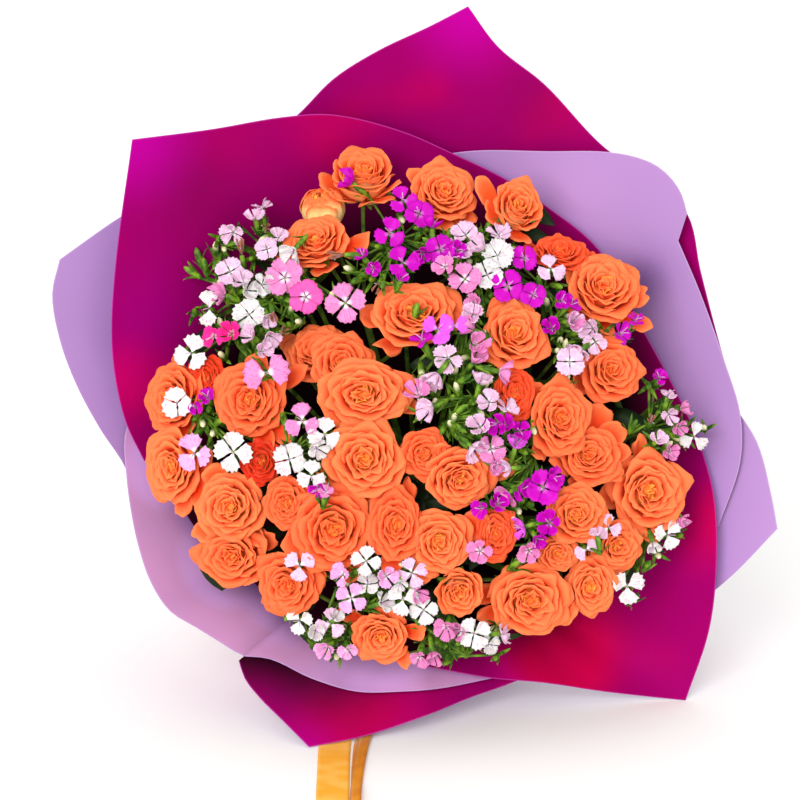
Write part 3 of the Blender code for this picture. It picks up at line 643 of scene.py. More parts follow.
def tape_material():
    """Floral tape: green crepe paper with wax in it, pleated finely across its length."""
    material, tree = new_material("waxed crepe tape", Roughness=0.7, IOR=1.45)
    crepe = noise(tree, 500, 3)
    return dressed(material, blend(tree, crepe, srgb("#2C4A1E"), srgb("#4F7A34")), crepe, 0.5, 0.0005)


# ---------------------------------------------------------------- pieces

def finish_piece(name, bm, materials, replaced=()):
    """Makes the object of a piece, lets it ride on the bouquet and hides the parts that it stands for."""
    mesh = bpy.data.meshes.new(name)
    bm.to_mesh(mesh)
    bm.free()
    for material in materials:
        mesh.materials.append(material)
    mesh.shade_smooth()
    piece = bpy.data.objects.new(name, mesh)
    bpy.context.scene.collection.objects.link(piece)
    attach(piece, "root")
    if replaced:
        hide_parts(*replaced)
    return piece


def thicken(piece, thickness, other_side=0):
    """Gives a sheet its thickness; other_side is how many slots on the material of its back is."""
    wall = piece.modifiers.new("thickness", "SOLIDIFY")
    wall.thickness = thickness * MM
    wall.offset = 0
    wall.material_offset = other_side
    wall.material_offset_rim = 0


def frame_at(point, axis, side=None, size=1.0):
    """A matrix at a point whose Z runs along axis, and whose X lies towards side."""
    axis = axis.normalized()
    side = side if side is not None else axis.orthogonal()
    side = (side - axis * side.dot(axis)).normalized()
    turn = Matrix((side, axis.cross(side), axis)).transposed()
    return Matrix.Translation(point) @ turn.to_4x4() @ Matrix.Scale(size, 4)


def upright(point, axis):
    """A matrix at a point whose Z runs along axis, with its X towards the right of the face."""
    return frame_at(point, axis, turned(1, 0, 0))


def splayed(turn, tilt):
    """A tilt away from Z, in the direction of a turn."""
    return Matrix.Rotation(turn, 4, "Z") @ Matrix.Rotation(tilt, 4, "Y")


def petal_mesh():
    """An empty mesh that holds the four petal values."""
    bm = bmesh.new()
    bm.verts.layers.float_color.new("petal")
    return bm


def grid(bm, wide, long):
    """The vertices of a new grid, each with its column and its row."""
    made = bmesh.ops.create_grid(bm, x_segments=wide - 1, y_segments=long - 1, size=1)["verts"]
    return [(vert, round((vert.co.x + 1) / 2 * (wide - 1)), round((vert.co.y + 1) / 2 * (long - 1)))
            for vert in made]


def linked(verts, kind):
    """The edges or faces at some vertices, each once and in their order."""
    return list(dict.fromkeys(item for vert in verts for item in getattr(vert, kind)))


def tube(bm, points, radii, sides):
    """A closed tube along points in metres, extruded ring by ring; radii are in millimetres."""
    frames = []
    side = None
    for i, point in enumerate(points):
        along = (points[min(i + 1, len(points) - 1)] - points[max(i - 1, 0)]).normalized()
        side = along.orthogonal() if side is None else side - along * side.dot(along)
        frames.append(frame_at(point, along, side, radii[i] * MM))
    made = bmesh.ops.create_circle(bm, cap_ends=True, segments=sides, radius=1, matrix=frames[0])
    verts = made["verts"]
    whole = list(verts)
    edges = linked(verts, "link_edges")
    for before, after in zip(frames, frames[1:]):
        pulled = bmesh.ops.extrude_edge_only(bm, edges=edges)["geom"]
        verts = [item for item in pulled if isinstance(item, bmesh.types.BMVert)]
        ring = set(verts)
        edges = [item for item in pulled
                 if isinstance(item, bmesh.types.BMEdge) and ring.issuperset(item.verts)]
        bmesh.ops.transform(bm, matrix=after @ before.inverted(), verts=verts)
        whole += verts
    bmesh.ops.contextual_create(bm, geom=edges)
    return whole


def stain(bm, verts, along, aside, share, layer):
    """Writes the four petal values on some vertices."""
    store = bm.verts.layers.float_color["petal"]
    for vert in verts:
        vert[store] = (along, aside, share, layer)


def stalk(bm, points, radii, sides, age):
    """A green tube, which is darker with its age."""
    made = tube(bm, points, radii, sides)
    stain(bm, made, 0.5, 0.5, age, 0)
    return made


def stray(at, out, reach):
    """Whether a place lies inside a rose, or clear of every rose and further than reach from any floret."""
    covered = False
    for rose, depth in zip(ALL_ROSES, ROSE_DEPTHS):
        if (at - Vector(rose[:2])).length < rose[2] * 0.5:
            if out > depth - rose[2] * 0.5:
                return True
            covered = True
    if covered:
        return False
    for _, florets in DIANTHUS_STEMS.values():
        if any((at - Vector(floret[:2])).length < reach for floret in florets):
            return False
    return True


def leaf(bm, root, length, width, droop, age, among=None):
    """A narrow pointed leaf from a root frame: it leaves along Z and bends over towards X. It is left out
    where it would pierce the film and, with among, where its tip or its middle would be stray or in front
    of the flowers."""
    for part in (1.0, 0.6):
        bent = droop * part / 2
        at, out = face_of(root @ (Vector((math.sin(bent), 0, math.cos(bent))) * (length * part * MM)))
        if room_over_film(at, out) < FILM_CLEARANCE:
            return
        if among and (stray(at, out, among) or out > dome_out(at.x, at.y) - 4):
            return
    made = bmesh.ops.create_grid(bm, x_segments=2, y_segments=5, size=1)["verts"]
    store = bm.verts.layers.float_color["petal"]
    for vert in made:
        aside, along = vert.co.x, (vert.co.y + 1) / 2
        half = width / 2 * math.sin(math.pi * min(0.985, 0.12 + 0.88 * along)) ** 0.8
        bend = droop * along
        reach = length * (math.sin(bend) / bend if abs(droop) > 0.01 and along > 0 else 1.0)
        over = length * along * math.sin(bend / 2)
        fold = abs(aside) * half * 0.45
        vert.co = root @ (Vector((over - fold * 0.3, aside * half, reach * along * math.cos(bend / 2))) * MM)
        vert[store] = (along, aside * 0.5 + 0.5, age, 0)
    bmesh.ops.solidify(bm, geom=linked(made, "link_faces"), thickness=LEAF_THICKNESS * MM)


# ---------------------------------------------------------------- stems

def head_centre(spots):
    """The middle of some flowers, across and up."""
    return sum((Vector(spot[:2]) for spot in spots), Vector((0, 0))) / len(spots)


def bundle_places(heads, radii):
    """Where each stem passes the tie: the heads' own pattern, shrunk and pushed apart until none touch."""
    centre = sum(heads, Vector((0, 0))) / len(heads)
    spots = [(head - centre) * BUNDLE_SHRINK for head in heads]
    for _ in range(200):
        for i in range(len(spots)):
            spots[i] = spots[i] * 0.995
            for j in range(i):
                apart = spots[i] - spots[j]
                short = radii[i] + radii[j] + GAP - apart.length
                if short > 0:
                    push = apart.normalized() * short / 2
                    spots[i] = spots[i] + push
                    spots[j] = spots[j] - push
    return spots


def stem_line(head, spot, top_out, bottom_out):
    """The line of one stem from its cut end, through the tie, to just under its head."""
    line = []
    for step in (1.0, 0.75, 0.5, 0.25, 0.0):
        out = TIE_BACK + (bottom_out - TIE_BACK) * step
        behind = (TIE_BACK - out) / (TIE_BACK - STEM_END_OUT)
        twisted = Matrix.Rotation(STEM_TWIST * behind, 2) @ spot
        at = TIE + STEM_SWAY * behind + twisted * (1 + END_SPREAD * behind)
        line.append(place(at.x, at.y, out))
    for step in (0.0, 0.1, 0.2, 0.35, 0.5, 0.65, 0.8, 1.0):
        out = TIE_OUT + (top_out - TIE_OUT) * step
        fanned = ((out - TIE_OUT) / (HEADS_OUT - TIE_OUT)) ** FAN_POWER
        at = (TIE + spot) * (1 - fanned) + head * fanned
        line.append(place(at.x, at.y, out))
    return line


def all_spots():
    """The middle of every stem's head and where the stem passes the tie, roses first."""
    heads = [head_centre(roses) for roses in ROSE_SPRAYS.values()]
    heads += [head_centre(florets) for _, florets in DIANTHUS_STEMS.values()]
    radii = [ROSE_STEM_RADIUS] * len(ROSE_SPRAYS) + [DIANTHUS_STEM_RADIUS] * len(DIANTHUS_STEMS)
    return heads, bundle_places(heads, radii)


# ---------------------------------------------------------------- roses

def faces_away(across, up, lean_right=0, lean_up=0):
    """The way a bloom faces: out of the dome, and leaning its own way."""
    away = Vector((across, up)) - DOME_CENTRE
    faces = Vector((away.x / DOME_RADIUS, away.y / DOME_RADIUS, 1 / FACING)).normalized()
    right = Matrix.Rotation(math.radians(lean_right), 3, "Y")
    rise = Matrix.Rotation(math.radians(-lean_up), 3, "X")
    return turned(*(right @ rise @ faces))


def settled_depths(roses):
    """How deep each bloom lies, after those that would share a space have slid behind their neighbours."""
    depths = [dome_out(rose[0], rose[1]) - rose[5] for rose in roses]
    for _ in range(120):
        for i in range(len(roses)):
            for j in range(i):
                flat = Vector(roses[i][:2]) - Vector(roses[j][:2])
                room = (roses[i][2] + roses[j][2]) / 2 * BLOOM_FULLNESS + GAP
                back = i if depths[i] < depths[j] else j
                if math.hypot(flat.length, depths[i] - depths[j]) < room:
                    depths[back] -= 1
    return depths


ROSE_DEPTHS = settled_depths(ALL_ROSES)


def rose_line(layer, make):
    """The side line of a petal from its foot to its rim, as radius and height in half widths of the bloom;
    layer is 0 at the heart of the bloom and 1 at its outside."""
    if make == "bud":
        return [(0.1, -1.5), (0.55 + 0.55 * layer, -1.35), (0.6 + 0.5 * layer, -0.3),
                (0.06 + 0.5 * layer ** 1.2, 0.16 - 0.1 * layer)]
    if make == "cup":
        rim, height, lean = 0.05 + 0.80 * layer ** 1.05, 0.04 + 0.5 * layer * (1 - layer), 18 + 32 * layer
    else:
        rim = 0.05 + 0.90 * layer ** 1.12
        height = -0.06 + 0.62 * layer * (1 - layer) - 0.16 * max(0.0, layer - 0.6) / 0.4
        lean = 22 + 50 * layer
    lean = math.radians(lean)
    reach = 0.22 + 0.16 * layer
    belly = 0.10 + 0.75 * layer ** 0.8
    under = (max(0.02, rim - reach * math.sin(lean)), height - reach * math.cos(lean))
    return [(0.09, -0.84), (belly, -0.64 + 0.1 * (1 - layer)), under, (rim, height)]


def bezier(line, part):
    """The point of a side line that lies at a part of its length."""
    rest = 1 - part
    weights = (rest ** 3, 3 * rest * rest * part, 3 * rest * part * part, part ** 3)
    return [sum(w * point[k] for w, point in zip(weights, line)) for k in (0, 1)]


def rose_petal(bm, bloom, line, turn, spread, chance, marks, heart=(0, 0), cupped=0.0):
    """One petal: a grid wrapped round the bloom's axis along its side line, with a rounded, ruffled rim that
    rolls back; cupped raises its sides."""
    make, layer = marks
    fine = (12, 6) if layer > 0.35 else (8, 4)
    made = bmesh.ops.create_grid(bm, x_segments=fine[0], y_segments=fine[1], size=1)["verts"]
    store = bm.verts.layers.float_color["petal"]
    wave, ripple = chance.uniform(0, FULL_TURN), chance.uniform(0, FULL_TURN)
    tip = chance.choice((0.0, 0.0, 0.07, 0.1))
    notch = chance.choice((0.0, 0.04, 0.07)) * layer
    calm = 0.25 + 0.75 * min(1.0, layer / 0.5)
    for vert in made:
        aside, along = vert.co.x, ((vert.co.y + 1) / 2) ** 0.7
        rounded = along * (1 - (0.45 if cupped else 0.20) * abs(aside) ** 2.8)
        radius, height = bezier(line, rounded)
        rise = along ** 4
        radius += 0.04 * abs(aside) ** 3 * along + 0.03 * aside * along
        radius += (0.012 + 0.03 * layer) * math.sin(4.2 * aside + wave) * rise
        radius += 0.016 * calm * math.sin(9.5 * aside + ripple) * rise
        height += (0.01 + 0.05 * layer) * math.sin(3.4 * aside + ripple) * rise
        height += 0.024 * calm * math.sin(8.3 * aside + wave) * rise
        point = tip * max(0.0, 1 - abs(aside) * 3) - notch * math.exp(-30 * aside * aside)
        radius += point * along ** 8
        roll = max(0.0, along - 0.78) / 0.22
        height += cupped * aside * aside * along - 0.07 * layer * roll ** 2
        radius += 0.035 * layer * roll
        angle = turn + aside * spread * (0.5 + 0.5 * along ** 0.6)
        vert.co = bloom @ Vector((
            radius * math.cos(angle) + heart[0], radius * math.sin(angle) + heart[1], height))
        vert[store] = (along, aside * 0.5 + 0.5, make, layer)


# How deep the colour of a rose is, by its make and for some roses of their own: 0 is golden, 1 is red and
# 2 is dark red.
MAKES = {"open": 0.28, "cup": 0.07, "bud": 0.0, "deep": 1.0}
DEEPER = {
    (2, 2): 0.8, (3, 1): 0.5, (4, 2): 0.48, (5, 2): 0.6, (6, 0): 0.55, (6, 1): 0.5, (6, 2): 1.3, (7, 2): 0.6,
    (7, 3): 1.6, (8, 0): 0.48, (8, 1): 0.55, (9, 0): 0.55, (9, 1): 0.6, (9, 3): 0.72, (12, 0): 0.48,
    (12, 1): 0.48, (12, 2): 0.85,
}


def rose_bloom(bm, rose, depth, petals, loose, tone, chance):
    """A bloom: petals set at the golden angle from its heart outwards."""
    across, up, width, lean_right, lean_up, _, make, tall = rose
    axis = faces_away(across, up, lean_right, lean_up)
    bloom = frame_at(place(across, up, depth), axis, turned(1, 0, 0), width / 2 * BLOOM_REACH * MM)
    bloom = bloom @ Matrix.Diagonal((1, tall, 1, 1))
    count = petals if make in ("open", "deep") else int(petals * 0.8)
    start = chance.uniform(0, FULL_TURN)
    eddy = chance.uniform(0, 3.1)
    for k in range(count):
        layer = (k + 0.4) / count
        foot, belly, under, rim = rose_line(layer, make)
        shift = chance.uniform(-0.02, 0.02)
        lift = chance.uniform(-0.03, 0.03)
        flare = chance.uniform(-0.02, 0.10) * layer
        line = [foot, belly, (under[0] + shift, under[1]), (rim[0] + shift + flare, rim[1] + lift)]
        spread = 0.74 + 0.6 * (1 - layer) ** 1.4
        turn = start + k * GOLDEN_ANGLE + chance.uniform(-0.2, 0.2)
        # The heart of a garden rose is rarely round: its petals gather about two eddies.
        off = max(0.0, 0.5 - layer) * 0.22 * (1 if k % 2 else -1)
        heart = (off * math.cos(eddy), off * math.sin(eddy))
        rose_petal(bm, bloom, line, turn, spread, chance, (tone, layer), heart)
    core = bmesh.ops.create_uvsphere(
        bm, u_segments=12, v_segments=8, radius=0.36,
        matrix=bloom @ Matrix.Translation((0, 0, -0.58)))["verts"]
    stain(bm, core, 0.6, 0.5, 0.28, 0)
    for face in linked(core, "link_faces"):
        face.material_index = 1
    for direction, reach, spread in loose:
        rim = chance.uniform(-0.1, 0.1) if make == "cup" else chance.uniform(-0.4, -0.15)
        line = [(0.1, -0.85), (0.7, -0.78), (reach - 0.25, rim - 0.35), (reach, rim)]
        rose_petal(bm, bloom, line, math.radians(direction), spread, chance, (tone, 1.0), cupped=0.16)


def rose_green(bm, rose, depth, fork, chance):
    """Hip, sepals and pedicel under a bloom."""
    across, up, width, lean_right, lean_up = rose[:5]
    reach = width / 2
    axis = faces_away(across, up, lean_right, lean_up)
    foot = place(across, up, depth) - axis * reach * 1.28 * MM
    hip = [foot + axis * step * MM for step in (-1.5, 0.5, 3.5, 6.5, 8.0)]
    stalk(bm, hip, [1.6, 2.8, 4.2, 3.6, 2.4], 8, 0.1)
    middle = (fork + foot) / 2 + turned(0, -2, 0) * MM
    pedicel = [fork, fork.lerp(middle, 0.6), middle.lerp(foot, 0.5), foot]
    stalk(bm, pedicel, [1.5, 1.4, 1.4, 1.6], 6, 0.3)
    root = upright(foot + axis * 7 * MM, axis)
    for k in range(5):
        away = splayed(2 * math.pi * (k + chance.uniform(-0.15, 0.15)) / 5, math.radians(62))
        leaf(bm, root @ away, chance.uniform(0.75, 1.0) * reach, 6.5, chance.uniform(0.1, 1.1), 0.15)


def from_tie(at):
    """Direction (degrees) and distance of a place of the face from the tie."""
    spoke = at - TIE
    return math.degrees(math.atan2(spoke.y, spoke.x)), spoke.length


def room_over_film(at, out):
    """How far a point of the face lies in front of the inner film."""
    return out - wrap_depth(*from_tie(at))[0]


def clear_of_film(point):
    """The point, drawn forwards where it would lie too near the film or behind it."""
    return point + turned(0, 0, max(0.0, FILM_CLEARANCE - room_over_film(*face_of(point)))) * MM


def rose_spray(number, roses, depths, head, spot, petals, petal_thickness, materials):
    """The blooms of one spray as one piece, and its stem, hips, sepals and leaves as another."""
    chance = random.Random(100 + number)
    bm = petal_mesh()
    for order, (rose, depth) in enumerate(zip(roses, depths)):
        tone = DEEPER.get((number, order), MAKES[rose[6]])
        rose_bloom(bm, rose, depth, petals, LOOSE_PETALS.get((number, order), ()), tone, chance)
    node = f"rose_spray_{number:02d}"
    blooms = finish_piece(f"{node}_blooms", bm, materials["rose"], [node])
    thicken(blooms, petal_thickness, 1)

    bm = petal_mesh()
    line = stem_line(head, spot, min(depths) - ROSE_FORK_DEPTH, STEM_END_OUT + 6 * (len(roses) % 3))
    stalk(bm, line, [ROSE_STEM_RADIUS] * len(line), 8, 0.55)
    for rose, depth in zip(roses, depths):
        rose_green(bm, rose, depth, line[-1], chance)
    for _ in range(ROSE_LEAVES):
        at = head + Vector((chance.gauss(0, ROSE_LEAF_SPREAD), chance.gauss(0, ROSE_LEAF_SPREAD) - 10))
        turn = chance.uniform(0, FULL_TURN)
        tip = at + ray(turn) * ROSE_LEAF_REACH
        out = dome_out(at.x, at.y) - chance.uniform(34, 62)
        if min(room_over_film(at, out), room_over_film(tip, out)) < ROSE_LEAF_CLEARANCE:
            continue
        root = upright(place(at.x, at.y, out), turned(0, 0, 1)) @ splayed(turn, chance.uniform(1.1, 1.45))
        leaf(bm, root, chance.uniform(26, 38), chance.uniform(9, 14), chance.uniform(-0.3, 0.5), 1.0, 9)
    for across, up, direction in DEEP_LEAVES.get(number, ()):
        root = upright(place(across, up, dome_out(across, up) - 50), turned(0, 0, 1))
        leaf(bm, root @ splayed(math.radians(direction), 1.4), 42, 14, 0.2, 1.0)
    bmesh.ops.recalc_face_normals(bm, faces=bm.faces)
    finish_piece(f"{node}_greens", bm, [materials["green"]])


# ---------------------------------------------------------------- sweet williams

def floret_petal(bm, floret, turn, length, half_angle, lift, chance, colour):
    """One petal: a narrow claw that widens into a fan with a toothed outer edge."""
    made = bmesh.ops.create_grid(bm, x_segments=10, y_segments=4, size=1)["verts"]
    store = bm.verts.layers.float_color["petal"]
    paint = bm.verts.layers.float_color["bloom_colour"]
    lift += chance.uniform(-0.12, 0.12)
    wave, share = chance.uniform(0, FULL_TURN), chance.random()
    fold = chance.uniform(0.0, 0.22)
    for vert in made:
        aside, along = vert.co.x, (vert.co.y + 1) / 2
        tooth = (round((aside + 1) * 5) % 2) * 0.08 + 0.04 * math.sin(7 * aside + wave) ** 2
        reach = length * (0.06 + 0.94 * along * (1 - 0.10 * aside * aside - 0.10 * aside ** 4))
        reach *= 1 - tooth * along ** 4
        angle = turn + aside * half_angle * (0.56 + 0.44 * min(1.0, along / 0.5) ** 1.2)
        height = length * (lift * along ** 1.7 - 0.1 + 0.10 * aside * along + fold * abs(aside) * along)
        height += length * 0.05 * math.sin(4 * aside + wave) * along ** 2
        flat = reach / math.hypot(1, 0.8 * lift)
        vert.co = floret @ (Vector((flat * math.cos(angle), flat * math.sin(angle), height)) * MM)
        vert[store] = (along, aside * 0.5 + 0.5, share, 0)
        vert[paint] = colour


def sunk_under(across, up, margin=0.9):
    """Depth of the rose over a place of the face, or None."""
    for rose, depth in zip(ALL_ROSES, ROSE_DEPTHS):
        if (Vector(rose[:2]) - Vector((across, up))).length < rose[2] / 2 * margin:
            return depth
    return None


def floret_out(across, up, chance):
    """Depth of a floret: proud of the dome, and in front of a rose that it crosses."""
    out = dome_out(across, up) + chance.uniform(0, 7)
    over = sunk_under(across, up)
    return out if over is None else max(out, over + OVER_ROSE)


def floret(bm, greens, across, up, colour, size, head, fork, chance):
    """A floret on its calyx: its petals, two threads of its style, a green tube behind them and a few
    pointed bracts."""
    out = floret_out(across, up, chance)
    face = place(across, up, out)
    uneven = 0.15
    sideways = Vector((across, up)) - head
    if (across, up) in OPEN_FLORETS:
        petals, length, start, half = OPEN_FLORETS[across, up]
        start, lift = math.radians(start), 0.1
        outward = faces_away(across, up)
    else:
        outward = faces_away(
            across, up, chance.gauss(0, 29) + sideways.x * 0.8, chance.gauss(0, 29) + sideways.y * 0.8)
        petals = 5 if chance.random() < 0.6 else 4
        start, length = chance.uniform(0, FULL_TURN), chance.uniform(9.3, 12) * size
        lift = chance.uniform(0, 0.8)
        half, uneven = 162 / petals, 0.5
        if colour == "withered":
            length, lift, half = 6, 1.8, 20
    spot = upright(face, outward)
    tint = chance.uniform(0.94, 1.0)
    shade = tuple(value * tint for value in srgb(FLORET_COLOURS[colour])[:3]) + (EYES.get(colour, 1.0),)
    for k in range(petals):
        turn = start + 2 * math.pi * (k + 0.24 * uneven * chance.uniform(-1, 1)) / petals
        own_lift = lift + chance.uniform(-0.15, uneven)
        reach = length * chance.uniform(1 - uneven / 3, 1)
        floret_petal(bm, spot, turn, reach, math.radians(half), own_lift, chance, shade)
    paint = bm.verts.layers.float_color["bloom_colour"]
    for _ in range(2):
        bent = frame_at(face, outward, turned(chance.uniform(-1, 1), chance.uniform(-1, 1), 0))
        style = [bent @ (Vector((3.4 * k * k / 9, 0, 2.2 * k - 1)) * MM) for k in range(4)]
        threads = tube(bm, style, [0.24, 0.24, 0.22, 0.16], 3)
        stain(bm, threads, 0.1, 0.5, 0, 0)
        for vert in threads:
            vert[paint] = srgb(THREAD_COLOUR, 0.15)
    base = clear_of_film(face - outward * CALYX_LENGTH * MM)
    calyx = [base, base.lerp(face, 0.25), base.lerp(face, 0.6), face - outward * 1.5 * MM]
    stalk(greens, calyx, [1.1, 1.8, 2.0, 1.6], 6, 0.0)
    stalk(greens, [fork, fork.lerp(base, 0.5) + outward * MM, base], [0.9, 0.8, 0.9], 5, 0.4)
    bracts(greens, upright(base, outward), 9, chance)


def bracts(bm, root, length, chance):
    """Pointed awl-shaped bracts round the foot of a calyx."""
    start = chance.uniform(0, FULL_TURN)
    for k in range(4):
        away = splayed(start + math.pi * k / 2, math.radians(chance.uniform(14, 34)))
        leaf(bm, root @ away, chance.uniform(1, 1.5) * length, 2.6, chance.uniform(-0.2, 0.7),
             chance.uniform(0, 0.3))


def bud(bm, across, up, right, rise, fork, chance):
    """A closed bud: a plump green calyx, sometimes with the cream tip of the petals in it."""
    outward = faces_away(across, up, right, rise)
    top = place(across, up, floret_out(across, up, chance) - 10)
    base = clear_of_film(top - outward * BUD_LENGTH * MM)
    points = [base, base.lerp(top, 0.2), base.lerp(top, 0.55), base.lerp(top, 0.85), top]
    made = stalk(bm, points, [1.1, 2.1, 2.6, 1.9, 0.5], 6, 0.0)
    if chance.random() < 0.35:
        stain(bm, made[-12:], 0.5, 0.5, 0.0, 1)
    stalk(bm, [fork, fork.lerp(base, 0.5) + outward * MM, base], [1.1, 1.0, 1.1], 5, 0.2)
    bracts(bm, upright(base, outward), 12, chance)


def foliage(bm, line, head, chance):
    """Narrow dark leaves in whorls down the stem, bending out between the flowers."""
    axis = faces_away(head.x, head.y)
    for whorl in range(WHORLS):
        root = upright(line[-1] - axis * (6 + WHORL_STEP * whorl) * MM, axis)
        for k in range(WHORL_LEAVES):
            turn = 2 * math.pi / WHORL_LEAVES * (k + 0.5 * whorl) + chance.uniform(-0.3, 0.3)
            away = splayed(turn, math.radians(chance.uniform(22, 70)))
            length = chance.uniform(24, 42) + 6 * whorl
            leaf(bm, root @ away, length, chance.uniform(3.5, 6.5), chance.uniform(-0.4, 1.2),
                 chance.uniform(0.4, 1), 12)


def dianthus_stem(number, main_colour, florets, head, spot, materials):
    """The florets of one stem as one piece, and its stem, calyxes, buds and leaves as another."""
    chance = random.Random(300 + number)
    bm, greens = petal_mesh(), petal_mesh()
    bm.verts.layers.float_color.new("bloom_colour")
    top = dome_out(head.x, head.y) - DIANTHUS_FORK_DEPTH
    line = stem_line(head, spot, top, STEM_END_OUT + 5 * (number % 4) + 4)
    stalk(greens, line, [DIANTHUS_STEM_RADIUS] * (len(line) - 1) + [2.2], 6, 0.4)
    for item in florets:
        colour = item[2] if len(item) > 2 else main_colour
        size = FLORET_SIZES.get(number, 1) * (item[3] if len(item) > 3 else 1)
        floret(bm, greens, item[0], item[1], colour, size, head, line[-1], chance)
    for across, up, right, rise in BUDS.get(number, ()):
        bud(greens, across, up, right, rise, line[-1], chance)
    for _ in range(BUD_TRIES):
        at = head + Vector((chance.gauss(0, BUD_SPREAD), chance.gauss(0, BUD_SPREAD)))
        clear = min((at - Vector(item[:2])).length for item in florets) > BUD_ROOM
        if clear and sunk_under(at.x, at.y, 1.0) is None and not stray(at, 0, 12):
            bud(greens, at.x, at.y, chance.gauss(0, 26), chance.gauss(0, 26), line[-1], chance)
    foliage(greens, line, head, chance)
    bmesh.ops.recalc_face_normals(greens, faces=greens.faces)
    node = f"sweet_william_stem_{number:02d}"
    petals = finish_piece(f"{node}_florets", bm, [materials["floret"]], [node])
    thicken(petals, FLORET_THICKNESS)
    finish_piece(f"{node}_greens", greens, [materials["leaf"]])


# ---------------------------------------------------------------- wrapping film

def wrap_profile(angle):
    """The wrap's profile in one direction round the tie, eased between the directions that are given."""
    angle %= 360
    for i, low in enumerate(WRAP_PROFILE):
        high = WRAP_PROFILE[(i + 1) % len(WRAP_PROFILE)]
        span = (high[0] - low[0]) % 360
        ahead = angle - low[0]
        if 0 <= ahead < span:
            ease = eased(ahead / span)
            return [a + (b - a) * ease for a, b in zip(low[1:], high[1:])]
    raise ValueError(angle)


def wrap_depth(angle, radius):
    """Depth of the wrap's inner face, and how steeply it rises there."""
    reach, depth, slope = wrap_profile(angle)
    span = reach - WRAP_TIE_RADIUS
    if radius > reach:
        return depth + slope * (radius - reach), slope
    bend = slope * span - (depth - TIE_OUT)
    lead = (depth - TIE_OUT) - bend
    part = (radius - WRAP_TIE_RADIUS) / span
    return TIE_OUT + lead * part + bend * part * part, (lead + 2 * bend * part) / span


def pleat(angle, radius):
    """Soft folds that run out from the tie and fade towards the rim; all the sheets share them."""
    turn = math.radians(angle)
    fold = math.sin(13 * turn + 0.7) + 0.6 * math.sin(22 * turn + 2.1) + 0.3 * math.sin(37 * turn)
    near = eased((radius - WRAP_TIE_RADIUS) / 90)
    far = 1 - 0.75 * eased((radius - 90) / 110)
    return fold * (0.25 + 2.0 * near) * far


def sheet_point(angle, radius, layer):
    """A point of one film layer, which lies outside the layers before it."""
    inner = radius
    for _ in range(4):
        depth, slope = wrap_depth(angle, inner)
        lean = math.hypot(1, slope)
        apart = layer * (LAYER_PITCH + LAYER_SPREAD * (inner - WRAP_TIE_RADIUS))
        apart += pleat(angle, inner)
        inner = max(WRAP_TIE_RADIUS, radius - apart * slope / lean)
    at = TIE + ray(math.radians(angle)) * radius
    return place(at.x, at.y, depth - apart / lean)


def skirt_point(angle, out, layer):
    """A point of a film layer behind the tie."""
    behind = (TIE_BACK - out) / (TIE_BACK - STEM_END_OUT)
    flare = (TIE_BACK - out) / (TIE_BACK - SKIRT_END)
    wave = pleat(angle, WRAP_TIE_RADIUS) * (1 + 5 * flare)
    radius = WRAP_TIE_RADIUS + SKIRT_FLARE * flare ** 1.5 + layer * LAYER_PITCH + wave
    at = TIE + STEM_SWAY * behind + ray(math.radians(angle)) * radius
    point = place(at.x, at.y, out)
    point.z = max(point.z, 0.5 * MM)
    return point


def rounded_rim(rim):
    """Points along a rim, across and up, smooth between its corners."""
    points = [Vector((*p, 0)) for p in rim]
    last = len(points) - 1

    def heading(i):
        if i in (0, last):
            return None
        before, after = points[i] - points[i - 1], points[i + 1] - points[i]
        if before.angle(after) > CORNER_TURN:
            return None
        return (before.normalized() + after.normalized()).normalized()

    fine = []
    for i in range(last):
        a, b = points[i], points[i + 1]
        third = (b - a).length / 3
        leave, arrive = heading(i), heading(i + 1)
        handle_a = a + (leave * third if leave else (b - a) / 3)
        handle_b = b - (arrive * third if arrive else (b - a) / 3)
        count = max(2, math.ceil((b - a).length / RIM_STEP) + 1)
        fine += [at.xy for at in interpolate_bezier(a, handle_a, handle_b, b, count)[:-1]]
    return fine + [points[last].xy]


# Patches where the magenta turns crimson: across, up, size and strength.
PATCHES = [
    (-44, 181, 30, 0.5), (-84, 164, 38, 0.12), (-180, 12, 34, 0.9), (112, -174, 36, 1.1),
    (160, -150, 55, 0.1), (217, -84, 42, 0.7), (-30, -214, 40, 0.85), (98, 194, 34, 0.35),
    (20, 215, 30, 0.25)]
# Where a sheet is painted lighter, as painted light, and where it is painted darker, as painted shade of a
# soft fold or a shadow: across, up, size and strength.
PAINTED_LIGHT_SPOTS = {
    "inner_sheet": [(-165, 62, 40, 0.35), (-178, 12, 34, 0.3)],
    "right_sheet": [(112, 130, 46, 0.5)],
}
PAINTED_SHADE_SPOTS = {
    "right_sheet": [(164, 81, 18, 0.85)],
    "inner_sheet": [(-138, 140, 30, 0.25)],
    "back_sheet": [(94, 203, 26, 0.2)],
}
# Sheets whose lilac is pinker all over, with how far from the roses it is painted lighter near them, as
# painted light, and the corner of some sheets where the painted light is brightest, across and up.
PINKER = {"front_left_sheet": (0.9, 24), "front_bottom_sheet": (0.7, 44)}
TIPS = {"inner_sheet": (-181, 176), "back_sheet": (46, 266), "bottom_tip_sheet": (-61.5, -234.5)}
# The rim of the front bottom sheet, under which a painted shadow falls on the bottom tip sheet.
FRONT_RIM = rounded_rim(SHEETS["front_bottom_sheet"][1])


